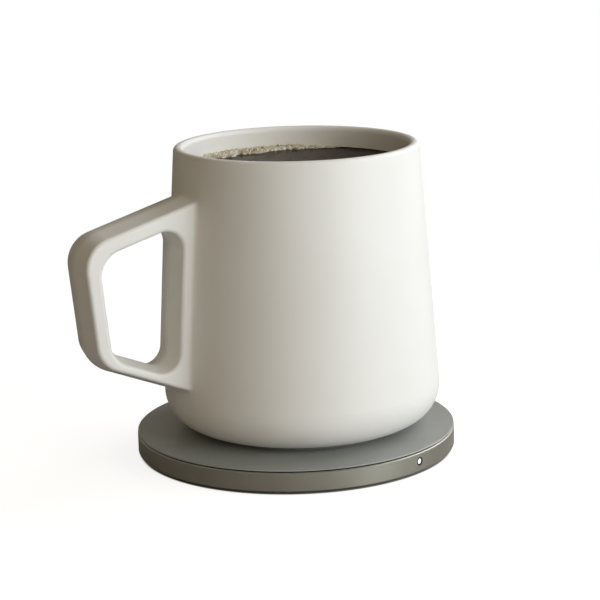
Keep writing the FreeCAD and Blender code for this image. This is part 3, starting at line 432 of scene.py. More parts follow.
def flat_beads(name, spots, finish, radius, flatness, spread, seed, sides=10):
    """One flattened bead of about this radius at every spot, each a little larger or smaller."""
    sizes = {"Bead radius": radius, "Flatness": flatness, "Spread": spread, "Seed": seed}
    tree, given = rule_tree(name + "_rule", sizes)
    bead = put(tree, "GeometryNodeMeshUVSphere", {
        "Segments": sides, "Rings": max(4, sides // 2), "Radius": given["Bead radius"],
    }).outputs["Mesh"]
    squeeze = put(tree, "ShaderNodeCombineXYZ", {
        "X": 1.0, "Y": 1.0, "Z": given["Flatness"],
    }).outputs["Vector"]
    flat = put(tree, "GeometryNodeTransform", {
        "Geometry": bead, "Scale": squeeze,
    }).outputs["Geometry"]
    least = sum_of(tree, "SUBTRACT", 1.0, given["Spread"])
    chance = put(tree, "FunctionNodeRandomValue", {
        "Min": least, "Max": 1.0, "Seed": given["Seed"],
    }, data_type="FLOAT").outputs["Value"]
    placed = put(tree, "GeometryNodeInstanceOnPoints", {
        "Points": given["Geometry"], "Instance": flat, "Scale": chance,
    }).outputs["Instances"]
    source = mesh_piece(name + "_spots", spots, [])
    return ruled_piece(name, tree, placed, finish, sizes, source)


def on_circle(radius, turn, level, middle=0.0):
    """A point on a circle round the pad's axis, or round an axis moved along x."""
    return (middle + radius * math.cos(turn), radius * math.sin(turn), level)


mat_rubber = cast_silicone("mat_silicone", MAT_GREY, MAT_DUST)
finish_node("grip_mat", mat_rubber)

pip_spots = [on_circle(radius, math.tau * index / count, PIP_CENTRE)
             for radius, count in PIP_RINGS for index in range(count)]
grip_pips = flat_beads("grip_pips", pip_spots, mat_rubber, PIP_RADIUS, PIP_FLATNESS, PIP_SPREAD,
                       seed=4)
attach(grip_pips, "warmer")


# The state lamp is a white light pipe in a dark anodised ring through the band, lit
# from behind by a small side-looking lamp chip on the board.

LAMP_TURN = math.radians(290.0)
LAMP_AHEAD = (math.cos(LAMP_TURN), math.sin(LAMP_TURN), 0.0)
PIPE_WHITE = (0.90, 0.90, 0.87, 1)
PIPE_GLOW = (1.0, 0.985, 0.95, 1)
RING_BLACK = (0.020, 0.020, 0.021, 1)
RING_WORN = (0.060, 0.058, 0.054, 1)
CHIP_CERAMIC = (0.72, 0.71, 0.66, 1)
CHIP_PHOSPHOR = (0.78, 0.60, 0.12, 1)
PHOSPHOR_FROM = 0.04695


def lit_pipe():
    """Milky acrylic that glows, a little weaker where dust and tool marks lie."""
    finish, tree, shader, place = new_finish("lit_pipe")
    shader.inputs["Base Color"].default_value = PIPE_WHITE
    shader.inputs["Emission Color"].default_value = PIPE_GLOW
    haze = spread_between(tree, grain(tree, place, 0.0004, 4.0), 0.85, 1.10)
    tree.links.new(haze, shader.inputs["Emission Strength"])
    roughened(tree, shader, place, 0.0002, 0.25, 0.40)
    relief(tree, shader, grain(tree, place, 0.00015, 2.0), 0.00001, 0.2)
    return finish


def along_lamp(tree, place):
    """How far a point lies towards the lamp from the pad's axis."""
    return put(tree, "ShaderNodeVectorMath", {
        0: place, 1: LAMP_AHEAD,
    }, operation="DOT_PRODUCT").outputs["Value"]


def lamp_chip_finish():
    """White ceramic package with a yellow phosphor window on the side towards the pipe."""
    finish, tree, shader, place = new_finish("lamp_chip_ceramic")
    window = step_over(tree, along_lamp(tree, place), PHOSPHOR_FROM, 0.0001)
    mottled = spread_between(tree, grain(tree, place, 0.0003, 3.0), 0.75, 1)
    coloured(tree, shader, sum_of(tree, "MULTIPLY", window, mottled), CHIP_CERAMIC, CHIP_PHOSPHOR)
    roughened(tree, shader, place, 0.0005, 0.35, 0.5)
    relief(tree, shader, grain(tree, place, 0.0001, 2.0), 0.00001, 0.25)
    return finish


finish_node("lamp_pipe", lit_pipe())
finish_node("lamp_ring", worked_metal(
    "lamp_ring_anodised", RING_BLACK, RING_WORN, run=(0.0004, 0.0004, 0.00006), rough=0.32,
    metallic=0.6))
finish_node("lamp_chip", lamp_chip_finish())


# The power socket stands opposite the lamp: a satin nylon liner in the band, a
# nickel-plated shell drawn from sheet, and a black tongue with gilt contacts.

LINER_BLACK = (0.022, 0.022, 0.023, 1)
LINER_GREY = (0.036, 0.035, 0.034, 1)
NICKEL = (0.62, 0.60, 0.55, 1)
NICKEL_DULL = (0.50, 0.48, 0.44, 1)
GILT = (0.83, 0.60, 0.24, 1)
GILT_PALE = (0.88, 0.70, 0.36, 1)
CONTACT_COUNT = 12
CONTACT_STEP = 0.00050
CONTACT_WIDE = 0.00028
CONTACT_LONG = 0.0034
CONTACT_THICK = 0.00005
CONTACT_MIDDLE = 0.0480
TONGUE_TOP = 0.00465
TONGUE_LOW = 0.00395
CORNER_SHARE = 0.4
MERGE_REACH = 0.000001


def joined(tree, *shapes):
    """Several shapes in one."""
    both = put(tree, "GeometryNodeJoinGeometry")
    for shape in shapes:
        tree.links.new(shape, both.inputs["Geometry"])
    return both.outputs["Geometry"]


def contact_strips():
    """A row of round-ended gilt strips on the upper and on the lower face of the tongue."""
    sizes = {"Strips": CONTACT_COUNT, "Step": CONTACT_STEP, "Width": CONTACT_WIDE,
             "Length": CONTACT_LONG, "Thickness": CONTACT_THICK,
             "Top": TONGUE_TOP, "Bottom": TONGUE_LOW, "Distance out": CONTACT_MIDDLE}
    tree, given = rule_tree("contact_rule", sizes)
    outline = put(tree, "GeometryNodeCurvePrimitiveQuadrilateral", {
        "Width": given["Length"], "Height": given["Width"],
    }).outputs["Curve"]
    corner = sum_of(tree, "MULTIPLY", given["Width"], CORNER_SHARE)
    soft = put(tree, "GeometryNodeFilletCurve", {
        "Curve": outline, "Count": 2, "Radius": corner,
    }, mode="POLY").outputs["Curve"]
    sheet = put(tree, "GeometryNodeFillCurve", {"Curve": soft}, mode="NGONS").outputs["Mesh"]
    raised = put(tree, "GeometryNodeExtrudeMesh", {
        "Mesh": sheet, "Offset Scale": given["Thickness"], "Individual": False,
    }).outputs["Mesh"]
    under = put(tree, "GeometryNodeFlipFaces", {"Mesh": sheet}).outputs["Mesh"]
    strip = put(tree, "GeometryNodeMergeByDistance", {
        "Geometry": joined(tree, raised, under), "Distance": MERGE_REACH,
    }).outputs["Geometry"]
    half_row = sum_of(tree, "MULTIPLY", sum_of(tree, "SUBTRACT", given["Strips"], 1), given["Step"])
    first = sum_of(tree, "MULTIPLY", half_row, -0.5)
    out = sum_of(tree, "MULTIPLY", given["Distance out"], -1.0)
    rows = []
    for level in (given["Top"], sum_of(tree, "SUBTRACT", given["Bottom"], given["Thickness"])):
        start = put(tree, "ShaderNodeCombineXYZ", {
            "X": out, "Y": first, "Z": level,
        }).outputs["Vector"]
        step = put(tree, "ShaderNodeCombineXYZ", {"Y": given["Step"]}).outputs["Vector"]
        line = put(tree, "GeometryNodeMeshLine", {
            "Count": given["Strips"], "Start Location": start, "Offset": step,
        }).outputs["Mesh"]
        rows.append(put(tree, "GeometryNodeInstanceOnPoints", {
            "Points": line, "Instance": strip,
        }).outputs["Instances"])
    finish = worked_metal("contact_gilt", GILT, GILT_PALE,
                          run=(0.0008, 0.00005, 0.00005), rough=0.18)
    source = mesh_piece("contact_start", [], [])
    return ruled_piece("socket_contacts", tree, joined(tree, *rows), finish, sizes, source,
                       smooth=False)


finish_node("socket_liner", moulded_plastic(
    "liner_nylon", LINER_BLACK, LINER_GREY, skin=0.00020, rough=0.38))
finish_node("socket_shell", worked_metal(
    "drawn_nickel", NICKEL, NICKEL_DULL, run=(0.0008, 0.0022, 0.00008), rough=0.22))
finish_node("socket_tongue", moulded_plastic(
    "tongue_polymer", LINER_BLACK, LINER_GREY, skin=0.00012, rough=0.45))

socket_contacts = contact_strips()
socket_contacts.data.transform(Matrix.Rotation(LAMP_TURN, 4, "Z"))
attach(socket_contacts, "warmer")


# The board is a ring of glass-fibre laminate under green lacquer, held by three
# screws. Its chips, choke and capacitors stand on it in reflowed solder.

LACQUER = (0.010, 0.085, 0.036, 1)
LACQUER_TRACE = (0.022, 0.150, 0.062, 1)
PAD_TIN = (0.66, 0.64, 0.58, 1)
TIN_DULL = (0.48, 0.47, 0.44, 1)
EPOXY = (0.018, 0.018, 0.019, 1)
EPOXY_GREY = (0.040, 0.040, 0.042, 1)
CHOKE_GREY = (0.090, 0.092, 0.096, 1)
CHOKE_LIGHT = (0.150, 0.152, 0.155, 1)
CERAMIC_TAN = (0.42, 0.30, 0.17, 1)
CERAMIC_PALE = (0.50, 0.38, 0.24, 1)
BOARD_TOP = 0.0039
BOARD_MIDDLE = 0.03825
CHIP_PLACES = ((150, 0.0025, 0.0025, 7), (30, 0.0020, 0.0020, 5), (210, 0.0030, 0.0030, 3))
CAPACITOR_TURNS = (106, 111, 116, 121, 126, 131)
CAPACITOR_HALF = 0.0016
TIN_START = 0.00112
TRACK_STEP = 0.0011
JOINT_ASIDE = 0.0004
SOLDER_RADIUS = 0.00027
SOLDER_FLATNESS = 0.9
SOLDER_SPREAD = 0.25


def lacquered_board():
    """Green lacquer over copper: ring tracks broken at intervals, and bare tinned dots."""
    finish, tree, shader, place = new_finish("lacquered_board")
    axes = split_place(tree, place)
    reach = put(tree, "ShaderNodeVectorMath", {0: place}, operation="LENGTH").outputs["Value"]
    turn = sum_of(tree, "ARCTAN2", axes["Y"], axes["X"])
    rings = sum_of(tree, "SINE", sum_of(tree, "MULTIPLY", reach, math.tau / TRACK_STEP))
    breaks = put(tree, "ShaderNodeTexNoise", {
        "Vector": put(tree, "ShaderNodeCombineXYZ", {
            "X": sum_of(tree, "MULTIPLY", turn, 4.0), "Y": sum_of(tree, "MULTIPLY", reach, 900.0),
        }).outputs["Vector"], "Scale": 1.0, "Detail": 0.0,
    }).outputs["Fac"]
    track = sum_of(tree, "MULTIPLY", step_over(tree, rings, 0.15, 0.2),
                   step_over(tree, breaks, 0.48, 0.02))
    dots = put(tree, "ShaderNodeTexVoronoi", {"Vector": place, "Scale": 420.0})
    bare = spread_between(tree, step_over(tree, dots.outputs["Distance"], 0.13, 0.02), 1, 0, 0, 1)
    lacquer = blended(tree, track, LACQUER, LACQUER_TRACE)
    coloured(tree, shader, bare, lacquer, PAD_TIN)
    tree.links.new(bare, shader.inputs["Metallic"])
    roughened(tree, shader, place, 0.002, 0.22, 0.34)
    relief(tree, shader, track, 0.00003, 0.5)
    weave = put(tree, "ShaderNodeTexWave", {"Vector": place, "Scale": 700.0, "Distortion": 1.0})
    relief(tree, shader, weave.outputs["Fac"], 0.00001, 0.2)
    return finish


def capacitor_finish():
    """Tan ceramic blocks with tinned ends."""
    finish, tree, shader, place = new_finish("capacitor_ceramic")
    off = sum_of(tree, "ABSOLUTE", sum_of(tree, "SUBTRACT", from_axis(tree, place), BOARD_MIDDLE))
    ends = step_over(tree, off, TIN_START, EDGE_BLUR)
    body = blended(tree, grain(tree, place, 0.0006, 4.0), CERAMIC_TAN, CERAMIC_PALE)
    coloured(tree, shader, ends, body, PAD_TIN)
    tree.links.new(ends, shader.inputs["Metallic"])
    roughened(tree, shader, place, 0.0004, 0.3, 0.45)
    relief(tree, shader, grain(tree, place, 0.0002, 2.0), 0.00001, 0.3)
    return finish


def joint_spots():
    """Where solder stands: round the chips and the choke, and at each capacitor's two ends."""
    spots = []
    for turn, half_wide, half_long, count in CHIP_PLACES:
        place = Matrix.Rotation(LAMP_TURN + math.radians(turn), 4, "Z")
        for side in range(4):
            quarter = Matrix.Rotation(side * math.pi / 2, 4, "Z")
            for index in range(count):
                share = (index - (count - 1) / 2) / count
                near = Vector((half_wide, 2 * half_long * share, 0))
                spots.append(place @ (Vector((BOARD_MIDDLE, 0, BOARD_TOP)) + quarter @ near))
    for turn in CAPACITOR_TURNS:
        place = Matrix.Rotation(LAMP_TURN + math.radians(turn), 4, "Z")
        for end in (-CAPACITOR_HALF, CAPACITOR_HALF):
            for aside in (-JOINT_ASIDE, 0.0, JOINT_ASIDE):
                spots.append(place @ Vector((BOARD_MIDDLE + end, aside, BOARD_TOP)))
    return spots


finish_node("main_board", lacquered_board())
finish_node("board_screws", worked_metal(
    "board_screw_nickel", NICKEL, NICKEL_DULL, run=(0.0002, 0.0002, 0.0010), rough=0.24))
chip_epoxy = moulded_plastic("chip_epoxy", EPOXY, EPOXY_GREY, skin=0.00010, rough=0.46)
finish_node("power_chip", chip_epoxy)
finish_node("control_chip", chip_epoxy)
finish_node("power_choke", moulded_plastic(
    "choke_ferrite", CHOKE_GREY, CHOKE_LIGHT, skin=0.00018, rough=0.55))
finish_node("board_capacitors", capacitor_finish())

solder = worked_metal("solder_tin", PAD_TIN, TIN_DULL, run=(0.0003, 0.0003, 0.0003), rough=0.20)
solder_joints = flat_beads("solder_joints", joint_spots(), solder, SOLDER_RADIUS, SOLDER_FLATNESS,
                           SOLDER_SPREAD, seed=11, sides=8)
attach(solder_joints, "warmer")


# The heater sits in a moulded dish: an aluminium sheet, six ferrite tiles, and one
# flat spiral wound from two twisted copper bundles side by side, under a mica disc.

CARRIER_CREAM = (0.52, 0.50, 0.44, 1)
CARRIER_PALE = (0.60, 0.58, 0.52, 1)
SHEET_BRIGHT = (0.74, 0.74, 0.73, 1)
SHEET_DULL = (0.60, 0.60, 0.60, 1)
FERRITE = (0.060, 0.061, 0.066, 1)
FERRITE_LIGHT = (0.100, 0.101, 0.106, 1)
COPPER = (0.56, 0.19, 0.075, 1)
COPPER_LIGHT = (0.72, 0.30, 0.13, 1)
MICA = (0.50, 0.45, 0.36, 1)
MICA_PALE = (0.64, 0.60, 0.50, 1)
HALF_TURNS = 14
COIL_START = 0.0096
COIL_STEP = 0.00135
COIL_MIDDLE = 0.0047
BUNDLE_ASIDE = 0.00049
STRAND_RING = 0.00030
STRAND_RADIUS = 0.00017
STRANDS = 6
TWIST_LENGTH = 0.0105
COIL_POINTS = 1100


def coil_line():
    """The spiral's line: half-turn arcs that swap between two centres, turned towards the lamp."""
    points = []
    for half_turn in range(HALF_TURNS):
        centre = 0.0 if half_turn % 2 == 0 else COIL_STEP
        start = 0.0 if half_turn % 2 == 0 else math.pi
        radius = COIL_START + half_turn * COIL_STEP
        steps = 30 + 4 * half_turn
        for index in range(steps):
            points.append(on_circle(radius, start + math.pi * index / steps, COIL_MIDDLE, centre))
    points.append((COIL_STEP + COIL_START + (HALF_TURNS - 1) * COIL_STEP, 0.0, COIL_MIDDLE))
    turned = Matrix.Rotation(LAMP_TURN, 4, "Z")
    return [turned @ Vector(point) for point in points]


def wound_coil(finish):
    """Two bundles of twisted strands that follow the spiral side by side."""
    sizes = {"Points": COIL_POINTS, "Strands": STRANDS, "Strand radius": STRAND_RADIUS,
             "Ring radius": STRAND_RING, "Twist length": TWIST_LENGTH, "Aside": BUNDLE_ASIDE}
    tree, given = rule_tree("coil_rule", sizes)
    line = put(tree, "GeometryNodeResampleCurve", {
        "Curve": given["Geometry"], "Count": given["Points"],
    })
    so_far = put(tree, "GeometryNodeSplineParameter").outputs["Length"]
    twists = sum_of(tree, "DIVIDE", so_far, given["Twist length"])
    twist = sum_of(tree, "MULTIPLY", twists, math.tau)
    hub = put(tree, "GeometryNodeMeshCircle", {
        "Vertices": given["Strands"], "Radius": given["Ring radius"],
    })
    strand = put(tree, "GeometryNodeCurvePrimitiveCircle", {
        "Resolution": 6, "Radius": given["Strand radius"],
    })
    ring = put(tree, "GeometryNodeInstanceOnPoints", {
        "Points": hub.outputs["Mesh"], "Instance": strand.outputs["Curve"],
    }).outputs["Instances"]
    profile = put(tree, "GeometryNodeRealizeInstances", {"Geometry": ring}).outputs["Geometry"]
    tangent = put(tree, "GeometryNodeInputTangent").outputs["Tangent"]
    sideways = put(tree, "ShaderNodeVectorMath", {
        0: tangent, 1: (0, 0, 1),
    }, operation="CROSS_PRODUCT")
    bundles = []
    for side in (-1.0, 1.0):
        reach = sum_of(tree, "MULTIPLY", given["Aside"], side)
        offset = put(tree, "ShaderNodeVectorMath", {
            0: sideways.outputs["Vector"], "Scale": reach,
        }, operation="SCALE").outputs["Vector"]
        moved = put(tree, "GeometryNodeSetPosition", {
            "Geometry": line.outputs["Curve"], "Offset": offset,
        }).outputs["Geometry"]
        turned = put(tree, "GeometryNodeSetCurveTilt", {
            "Curve": moved, "Tilt": twist,
        }).outputs["Curve"]
        bundles.append(put(tree, "GeometryNodeCurveToMesh", {
            "Curve": turned, "Profile Curve": profile, "Fill Caps": True,
        }).outputs["Mesh"])
    points = coil_line()
    curve = bpy.data.curves.new("coil_line", "CURVE")
    curve.dimensions = "3D"
    spline = curve.splines.new("POLY")
    spline.points.add(len(points) - 1)
    for point, spot in zip(spline.points, points):
        point.co = (*spot, 1)
    source = link_object(bpy.data.objects.new("coil_line", curve))
    return ruled_piece("wound_coil", tree, joined(tree, *bundles), finish, sizes, source)


def enamelled_copper():
    """Copper strands under clear enamel, darker in patches where the varnish is thick."""
    finish, tree, shader, place = new_finish("enamelled_copper")
    patches = spread_between(tree, grain(tree, place, 0.0035, 4.0), 0, 1)
    coloured(tree, shader, patches, COPPER, COPPER_LIGHT)
    shader.inputs["Metallic"].default_value = 1.0
    roughened(tree, shader, place, 0.0008, 0.24, 0.38)
    shader.inputs["Coat Weight"].default_value = 0.4
    shader.inputs["Coat Roughness"].default_value = 0.12
    relief(tree, shader, grain(tree, place, 0.0002, 2.0), 0.00001, 0.25)
    return finish


def mica_disc():
    """Pressed mica: overlapping pale flakes, some of them shinier."""
    finish, tree, shader, place = new_finish("mica_disc")
    flakes = put(tree, "ShaderNodeTexVoronoi", {
        "Vector": place, "Scale": 900.0, "Randomness": 1.0,
    })
    tone = put(tree, "ShaderNodeSeparateColor", {"Color": flakes.outputs["Color"]}).outputs["Red"]
    coloured(tree, shader, tone, MICA, MICA_PALE)
    tree.links.new(spread_between(tree, tone, 0.25, 0.6, 0, 1), shader.inputs["Roughness"])
    relief(tree, shader, flakes.outputs["Distance"], 0.00002, 0.4)
    return finish


finish_node("coil_carrier", moulded_plastic(
    "carrier_polyester", CARRIER_CREAM, CARRIER_PALE, skin=0.00060, rough=0.42))
finish_node("shield_plate", worked_metal(
    "rolled_sheet", SHEET_BRIGHT, SHEET_DULL, run=(0.020, 0.0001, 0.02), rough=0.22))
finish_node("ferrite_tiles", moulded_plastic(
    "sintered_ferrite", FERRITE, FERRITE_LIGHT, skin=0.00025, rough=0.50))
finish_node("insulation_disc", mica_disc())
copper = enamelled_copper()
finish_node("coil_leads", copper)
finish_node("coil_winding", copper)

coil = wound_coil(copper)
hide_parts("coil_winding")
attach(coil, "warmer")


# The temperature sensor is a dark glass bead that a soft silicone cup presses
# against the plate from the middle of the coil.

CUP_GREY = (0.40, 0.38, 0.36, 1)
CUP_PALE = (0.52, 0.50, 0.47, 1)
BEAD_AMBER = (0.050, 0.018, 0.008, 1)
BEAD_DARK = (0.014, 0.008, 0.006, 1)


def bead_glass():
    """Dark glass with a slow swirl in it, smooth but for a few ripples."""
    finish, tree, shader, place = new_finish("bead_glass")
    swirl = put(tree, "ShaderNodeTexWave", {
        "Vector": place, "Scale": 260.0, "Distortion": 6.0,
    }).outputs["Fac"]
    coloured(tree, shader, swirl, BEAD_AMBER, BEAD_DARK)
    roughened(tree, shader, place, 0.0006, 0.05, 0.14)
    shader.inputs["Coat Weight"].default_value = 0.6
    relief(tree, shader, grain(tree, place, 0.0008, 2.0), 0.00002, 0.2)
    return finish


finish_node("sensor_cup", cast_silicone("cup_silicone", CUP_GREY, CUP_PALE, dusty=0.5))
finish_node("sensor_bead", bead_glass())


# The top plate is a thin aluminium dish with a hard, cool grey coat that feels like
# fine chalk. It drops into the band and is glued there; its edge below the rim is
# painted black all round, painted shade for the gap to the band.

PLATE_COAT = (0.300, 0.314, 0.300, 1)
PLATE_COAT_DUSTY = (0.345, 0.358, 0.342, 1)
PLATE_EDGE_LOW = 0.00742
PLATE_METAL = 0.10


def chalky_plate():
    """A hard satin coat with a faint cloud in it and slightly polished patches; the edge below the
    rim painted black as shade in the gap.
    """
    finish, tree, shader, place = new_finish("chalky_plate")
    cloud = spread_between(tree, grain(tree, place, 0.022, 5.0), 0, 1)
    # Below the rim the plate's edge is painted black, painted shade for the gap to the band.
    clear_of_gap_shade = step_over(tree, split_place(tree, place)["Z"], PLATE_EDGE_LOW, EDGE_BLUR)
    coat = blended(tree, cloud, PLATE_COAT, PLATE_COAT_DUSTY)
    coloured(tree, shader, clear_of_gap_shade, GAP_SHADE_BLACK, coat)
    shader.inputs["Metallic"].default_value = PLATE_METAL
    roughened(tree, shader, place, 0.009, 0.36, 0.44)
    relief(tree, shader, grain(tree, place, 0.00035, 2.0), 0.00002, 0.3)
    return finish


finish_node("top_plate", chalky_plate())


# The mug is slip-cast white stoneware under a satin glaze, left bare round the foot.
# Its handle is a closed frame cast apart and luted on, so that both flow together.

GLAZE = (0.860, 0.850, 0.826, 1)
GLAZE_THIN = (0.838, 0.826, 0.798, 1)
BARE_CLAY = (0.620, 0.575, 0.500, 1)
GLAZE_END = 0.00935


def satin_glaze():
    """White glaze, thinner in clouds, with a soft orange-peel surface; bare clay underneath."""
    finish, tree, shader, place = new_finish("satin_glaze")
    cloud = spread_between(tree, grain(tree, place, 0.030, 4.0), 0, 1)
    glaze = blended(tree, cloud, GLAZE, GLAZE_THIN)
    ragged = sum_of(tree, "MULTIPLY", grain(tree, place, 0.004), 0.0004)
    height = sum_of(tree, "ADD", split_place(tree, place)["Z"], ragged)
    glazed = step_over(tree, height, GLAZE_END, 0.00015)
    coloured(tree, shader, glazed, BARE_CLAY, glaze)
    sheen = spread_between(tree, grain(tree, place, 0.012), 0.42, 0.52)
    rough = put(tree, "ShaderNodeMix", {"Factor": glazed, "A": 0.85, "B": sheen}).outputs["Result"]
    tree.links.new(rough, shader.inputs["Roughness"])
    shader.inputs["Specular IOR Level"].default_value = 0.40
    relief(tree, shader, grain(tree, place, 0.0045, 2.0), 0.00006, 0.25)
    relief(tree, shader, grain(tree, place, 0.0006, 2.0), 0.00001, 0.25)
    return finish


finish_node("mug_body", satin_glaze())


# Under the mug a silicone ring sits in a groove of the base and the mug stands on
# it. Inside it the silver heating film is printed on and sealed by a thin grey disc.

FOOT_GREY = (0.155, 0.155, 0.150, 1)
FOOT_DUST = (0.260, 0.255, 0.240, 1)
FILM_SILVER = (0.70, 0.69, 0.66, 1)
FILM_DARK = (0.52, 0.51, 0.49, 1)
CAP_GREY = (0.36, 0.355, 0.34, 1)
CAP_PALE = (0.42, 0.41, 0.39, 1)
SCREEN_STEP = 0.0004


def printed_film():
    """Silver paste with the weave of the printing screen still in it."""
    finish, tree, shader, place = new_finish("printed_film")
    axes = split_place(tree, place)
    threads = []
    for axis in ("X", "Y"):
        across = sum_of(tree, "MULTIPLY", axes[axis], math.tau / SCREEN_STEP)
        threads.append(sum_of(tree, "SINE", across))
    weave = spread_between(tree, sum_of(tree, "MULTIPLY", *threads), 0, 1, -1, 1)
    patches = grain(tree, place, 0.006, 4.0)
    coloured(tree, shader, sum_of(tree, "MULTIPLY", weave, patches), FILM_SILVER, FILM_DARK)
    shader.inputs["Metallic"].default_value = 0.9
    tree.links.new(spread_between(tree, patches, 0.32, 0.46), shader.inputs["Roughness"])
    relief(tree, shader, weave, 0.00001, 0.4)
    return finish


finish_node("foot_ring", cast_silicone("foot_silicone", FOOT_GREY, FOOT_DUST))
finish_node("heating_film", printed_film())
finish_node("film_cap", moulded_plastic(
    "cap_enamel", CAP_GREY, CAP_PALE, skin=0.00050, rough=0.30))


# The drink is black coffee, poured to about 7 mm below the rim. It climbs the wall
# a little, and a crust of pale froth has drifted to the wall at the back.

MUG_AXIS = 0.0028
DRINK_LEVEL = 0.0931
WALL_AT_LEVEL = 0.03663
TAPER = 0.073
WALL_PLAY = 0.00012
FLOOR = 0.0143
WELL = 0.0090
CLIMB = 0.00045
CLIMB_REACH = 0.0012
CLIMB_RUN = 0.0052
CLIMB_STEPS = 12
CORNER_PLAY = 0.00015
CORNER_STEPS = 8
WALL_STEPS = 8
SURFACE_STEPS = 14
DRINK_AROUND = 128
COFFEE = (0.010, 0.0055, 0.0030, 1)
# Lighter brown patches: part oil film, part painted sheen on the surface.
COFFEE_FILM_AND_SHEEN = (0.060, 0.039, 0.022, 1)
FROTH = (0.58, 0.52, 0.37, 1)
FROTH_PALE = (0.86, 0.82, 0.69, 1)
# Dark brown patches in the froth: part coffee stain, part painted shade.
FROTH_STAIN_AND_SHADE = (0.20, 0.13, 0.065, 1)
FROTH_START = math.radians(124)
FROTH_END = math.radians(34)
FROTH_STEPS = 260
FROTH_ACROSS = 14
FROTH_WIDEST = 0.0062
FROTH_NARROWEST = 0.00025
FROTH_TALLEST = 0.0011
FROTH_PLAY = 0.00004
BUBBLES_PER_AREA = 2600000.0
BUBBLE_SMALLEST = 0.00010
BUBBLE_LARGEST = 0.00042


def wall_radius(level):
    """Inside of the mug at this height, less a hair of play."""
    return WALL_AT_LEVEL + (DRINK_LEVEL - level) * TAPER - WALL_PLAY


def drink_profile():
    """Radius and height from the floor's middle, out and up the wall, and in over the surface."""
    corner = wall_radius(FLOOR + WELL) - WELL
    profile = [(0.0, FLOOR), (corner * 0.5, FLOOR), (corner, FLOOR)]
    for index in range(1, CORNER_STEPS + 1):
        turn = math.pi / 2 * index / CORNER_STEPS
        radius = corner + WELL * math.sin(turn) - CORNER_PLAY
        profile.append((radius, FLOOR + WELL * (1 - math.cos(turn))))
    for index in range(1, WALL_STEPS + 1):
        level = FLOOR + WELL + (DRINK_LEVEL + CLIMB - FLOOR - WELL) * index / WALL_STEPS
        profile.append((wall_radius(level), level))
    edge = profile[-1][0]
    for index in range(1, CLIMB_STEPS + 1):
        inward = CLIMB_RUN * (index / CLIMB_STEPS) ** 1.6
        profile.append((edge - inward, DRINK_LEVEL + CLIMB * math.exp(-inward / CLIMB_REACH)))
    for index in range(1, SURFACE_STEPS):
        profile.append(((edge - CLIMB_RUN) * (1 - index / SURFACE_STEPS), DRINK_LEVEL))
    profile.append((0.0, DRINK_LEVEL))
    return profile


def turned_solid(name, profile, around, middle):
    """A closed solid of revolution from a profile that starts and ends on the axis."""
    points = [(middle, 0.0, profile[0][1])]
    for radius, level in profile[1:-1]:
        for index in range(around):
            points.append(on_circle(radius, math.tau * index / around, level, middle))
    points.append((middle, 0.0, profile[-1][1]))
    last = len(points) - 1
    faces = []
    for index in range(around):
        beside = (index + 1) % around
        faces.append((0, 1 + beside, 1 + index))
        for ring in range(len(profile) - 3):
            low = 1 + ring * around
            faces.append((low + index, low + beside, low + around + beside, low + around + index))
        top = 1 + (len(profile) - 3) * around
        faces.append((top + index, top + beside, last))
    return mesh_piece(name, points, faces)


def black_coffee():
    """Nearly black, glossy, with lighter brown patches, part a thin broken film of oil and part
    painted sheen, and fine froth on it.
    """
    finish, tree, shader, place = new_finish("black_coffee")
    # The lighter film patches are partly a painted sheen on the dark coffee.
    film = spread_between(tree, grain(tree, place, 0.007, 6.0, 0.62), 0, 1, 0.46, 0.66)
    fine = spread_between(tree, grain(tree, place, 0.0009, 3.0), 0.3, 1)
    share = sum_of(tree, "MULTIPLY", film, fine)
    coloured(tree, shader, share, COFFEE, COFFEE_FILM_AND_SHEEN)
    tree.links.new(spread_between(tree, film, 0.10, 0.26, 0, 1), shader.inputs["Roughness"])
    shader.inputs["IOR"].default_value = 1.15
    shader.inputs["Specular IOR Level"].default_value = 0.12
    relief(tree, shader, grain(tree, place, 0.0035, 4.0), 0.00008, 0.35)
    relief(tree, shader, share, 0.00003, 0.4)
    return finish


def froth_finish():
    """Beige froth: small dark-rimmed cells, paler clumps, and brown patches, part coffee stain and
    part painted shade in the crust.
    """
    finish, tree, shader, place = new_finish("coffee_froth")
    cells = put(tree, "ShaderNodeTexVoronoi", {
        "Vector": place, "Scale": 1500.0,
    }).outputs["Distance"]
    clump = spread_between(tree, grain(tree, place, 0.0030, 4.0), 0, 1)
    # These brown patches are partly painted shade in the crust, partly coffee stain.
    stain_and_shade = spread_between(tree, grain(tree, place, 0.0016, 5.0, 0.7), 0, 0.85, 0.47, 0.66)
    tone = blended(tree, stain_and_shade, blended(tree, clump, FROTH, FROTH_PALE), FROTH_STAIN_AND_SHADE)
    tree.links.new(tone, shader.inputs["Base Color"])
    roughened(tree, shader, place, 0.001, 0.35, 0.55)
    shader.inputs["Subsurface Weight"].default_value = 0.25
    shader.inputs["Subsurface Radius"].default_value = (0.0012, 0.0009, 0.0005)
    shader.inputs["Subsurface Scale"].default_value = 1.0
    relief(tree, shader, cells, 0.00015, 0.6)
    return finish


def froth_width(turn):
    """How far the crust reaches in from the wall: widest on the left, ragged, thin at both ends."""
    share = (FROTH_START - turn) / (FROTH_START - FROTH_END)
    full = (FROTH_WIDEST * min(1.0, share / 0.10)
            * max(0.0, 1.0 - max(0.0, share - 0.42) / 0.58) ** 0.9)
    coarse = field.noise(Vector((turn * 9.0, 0.3, 7.0)))
    ragged = coarse + 0.6 * field.noise(Vector((turn * 31.0, 2.0, 1.0)))
    return max(FROTH_NARROWEST, full * (1.0 + 0.42 * ragged))


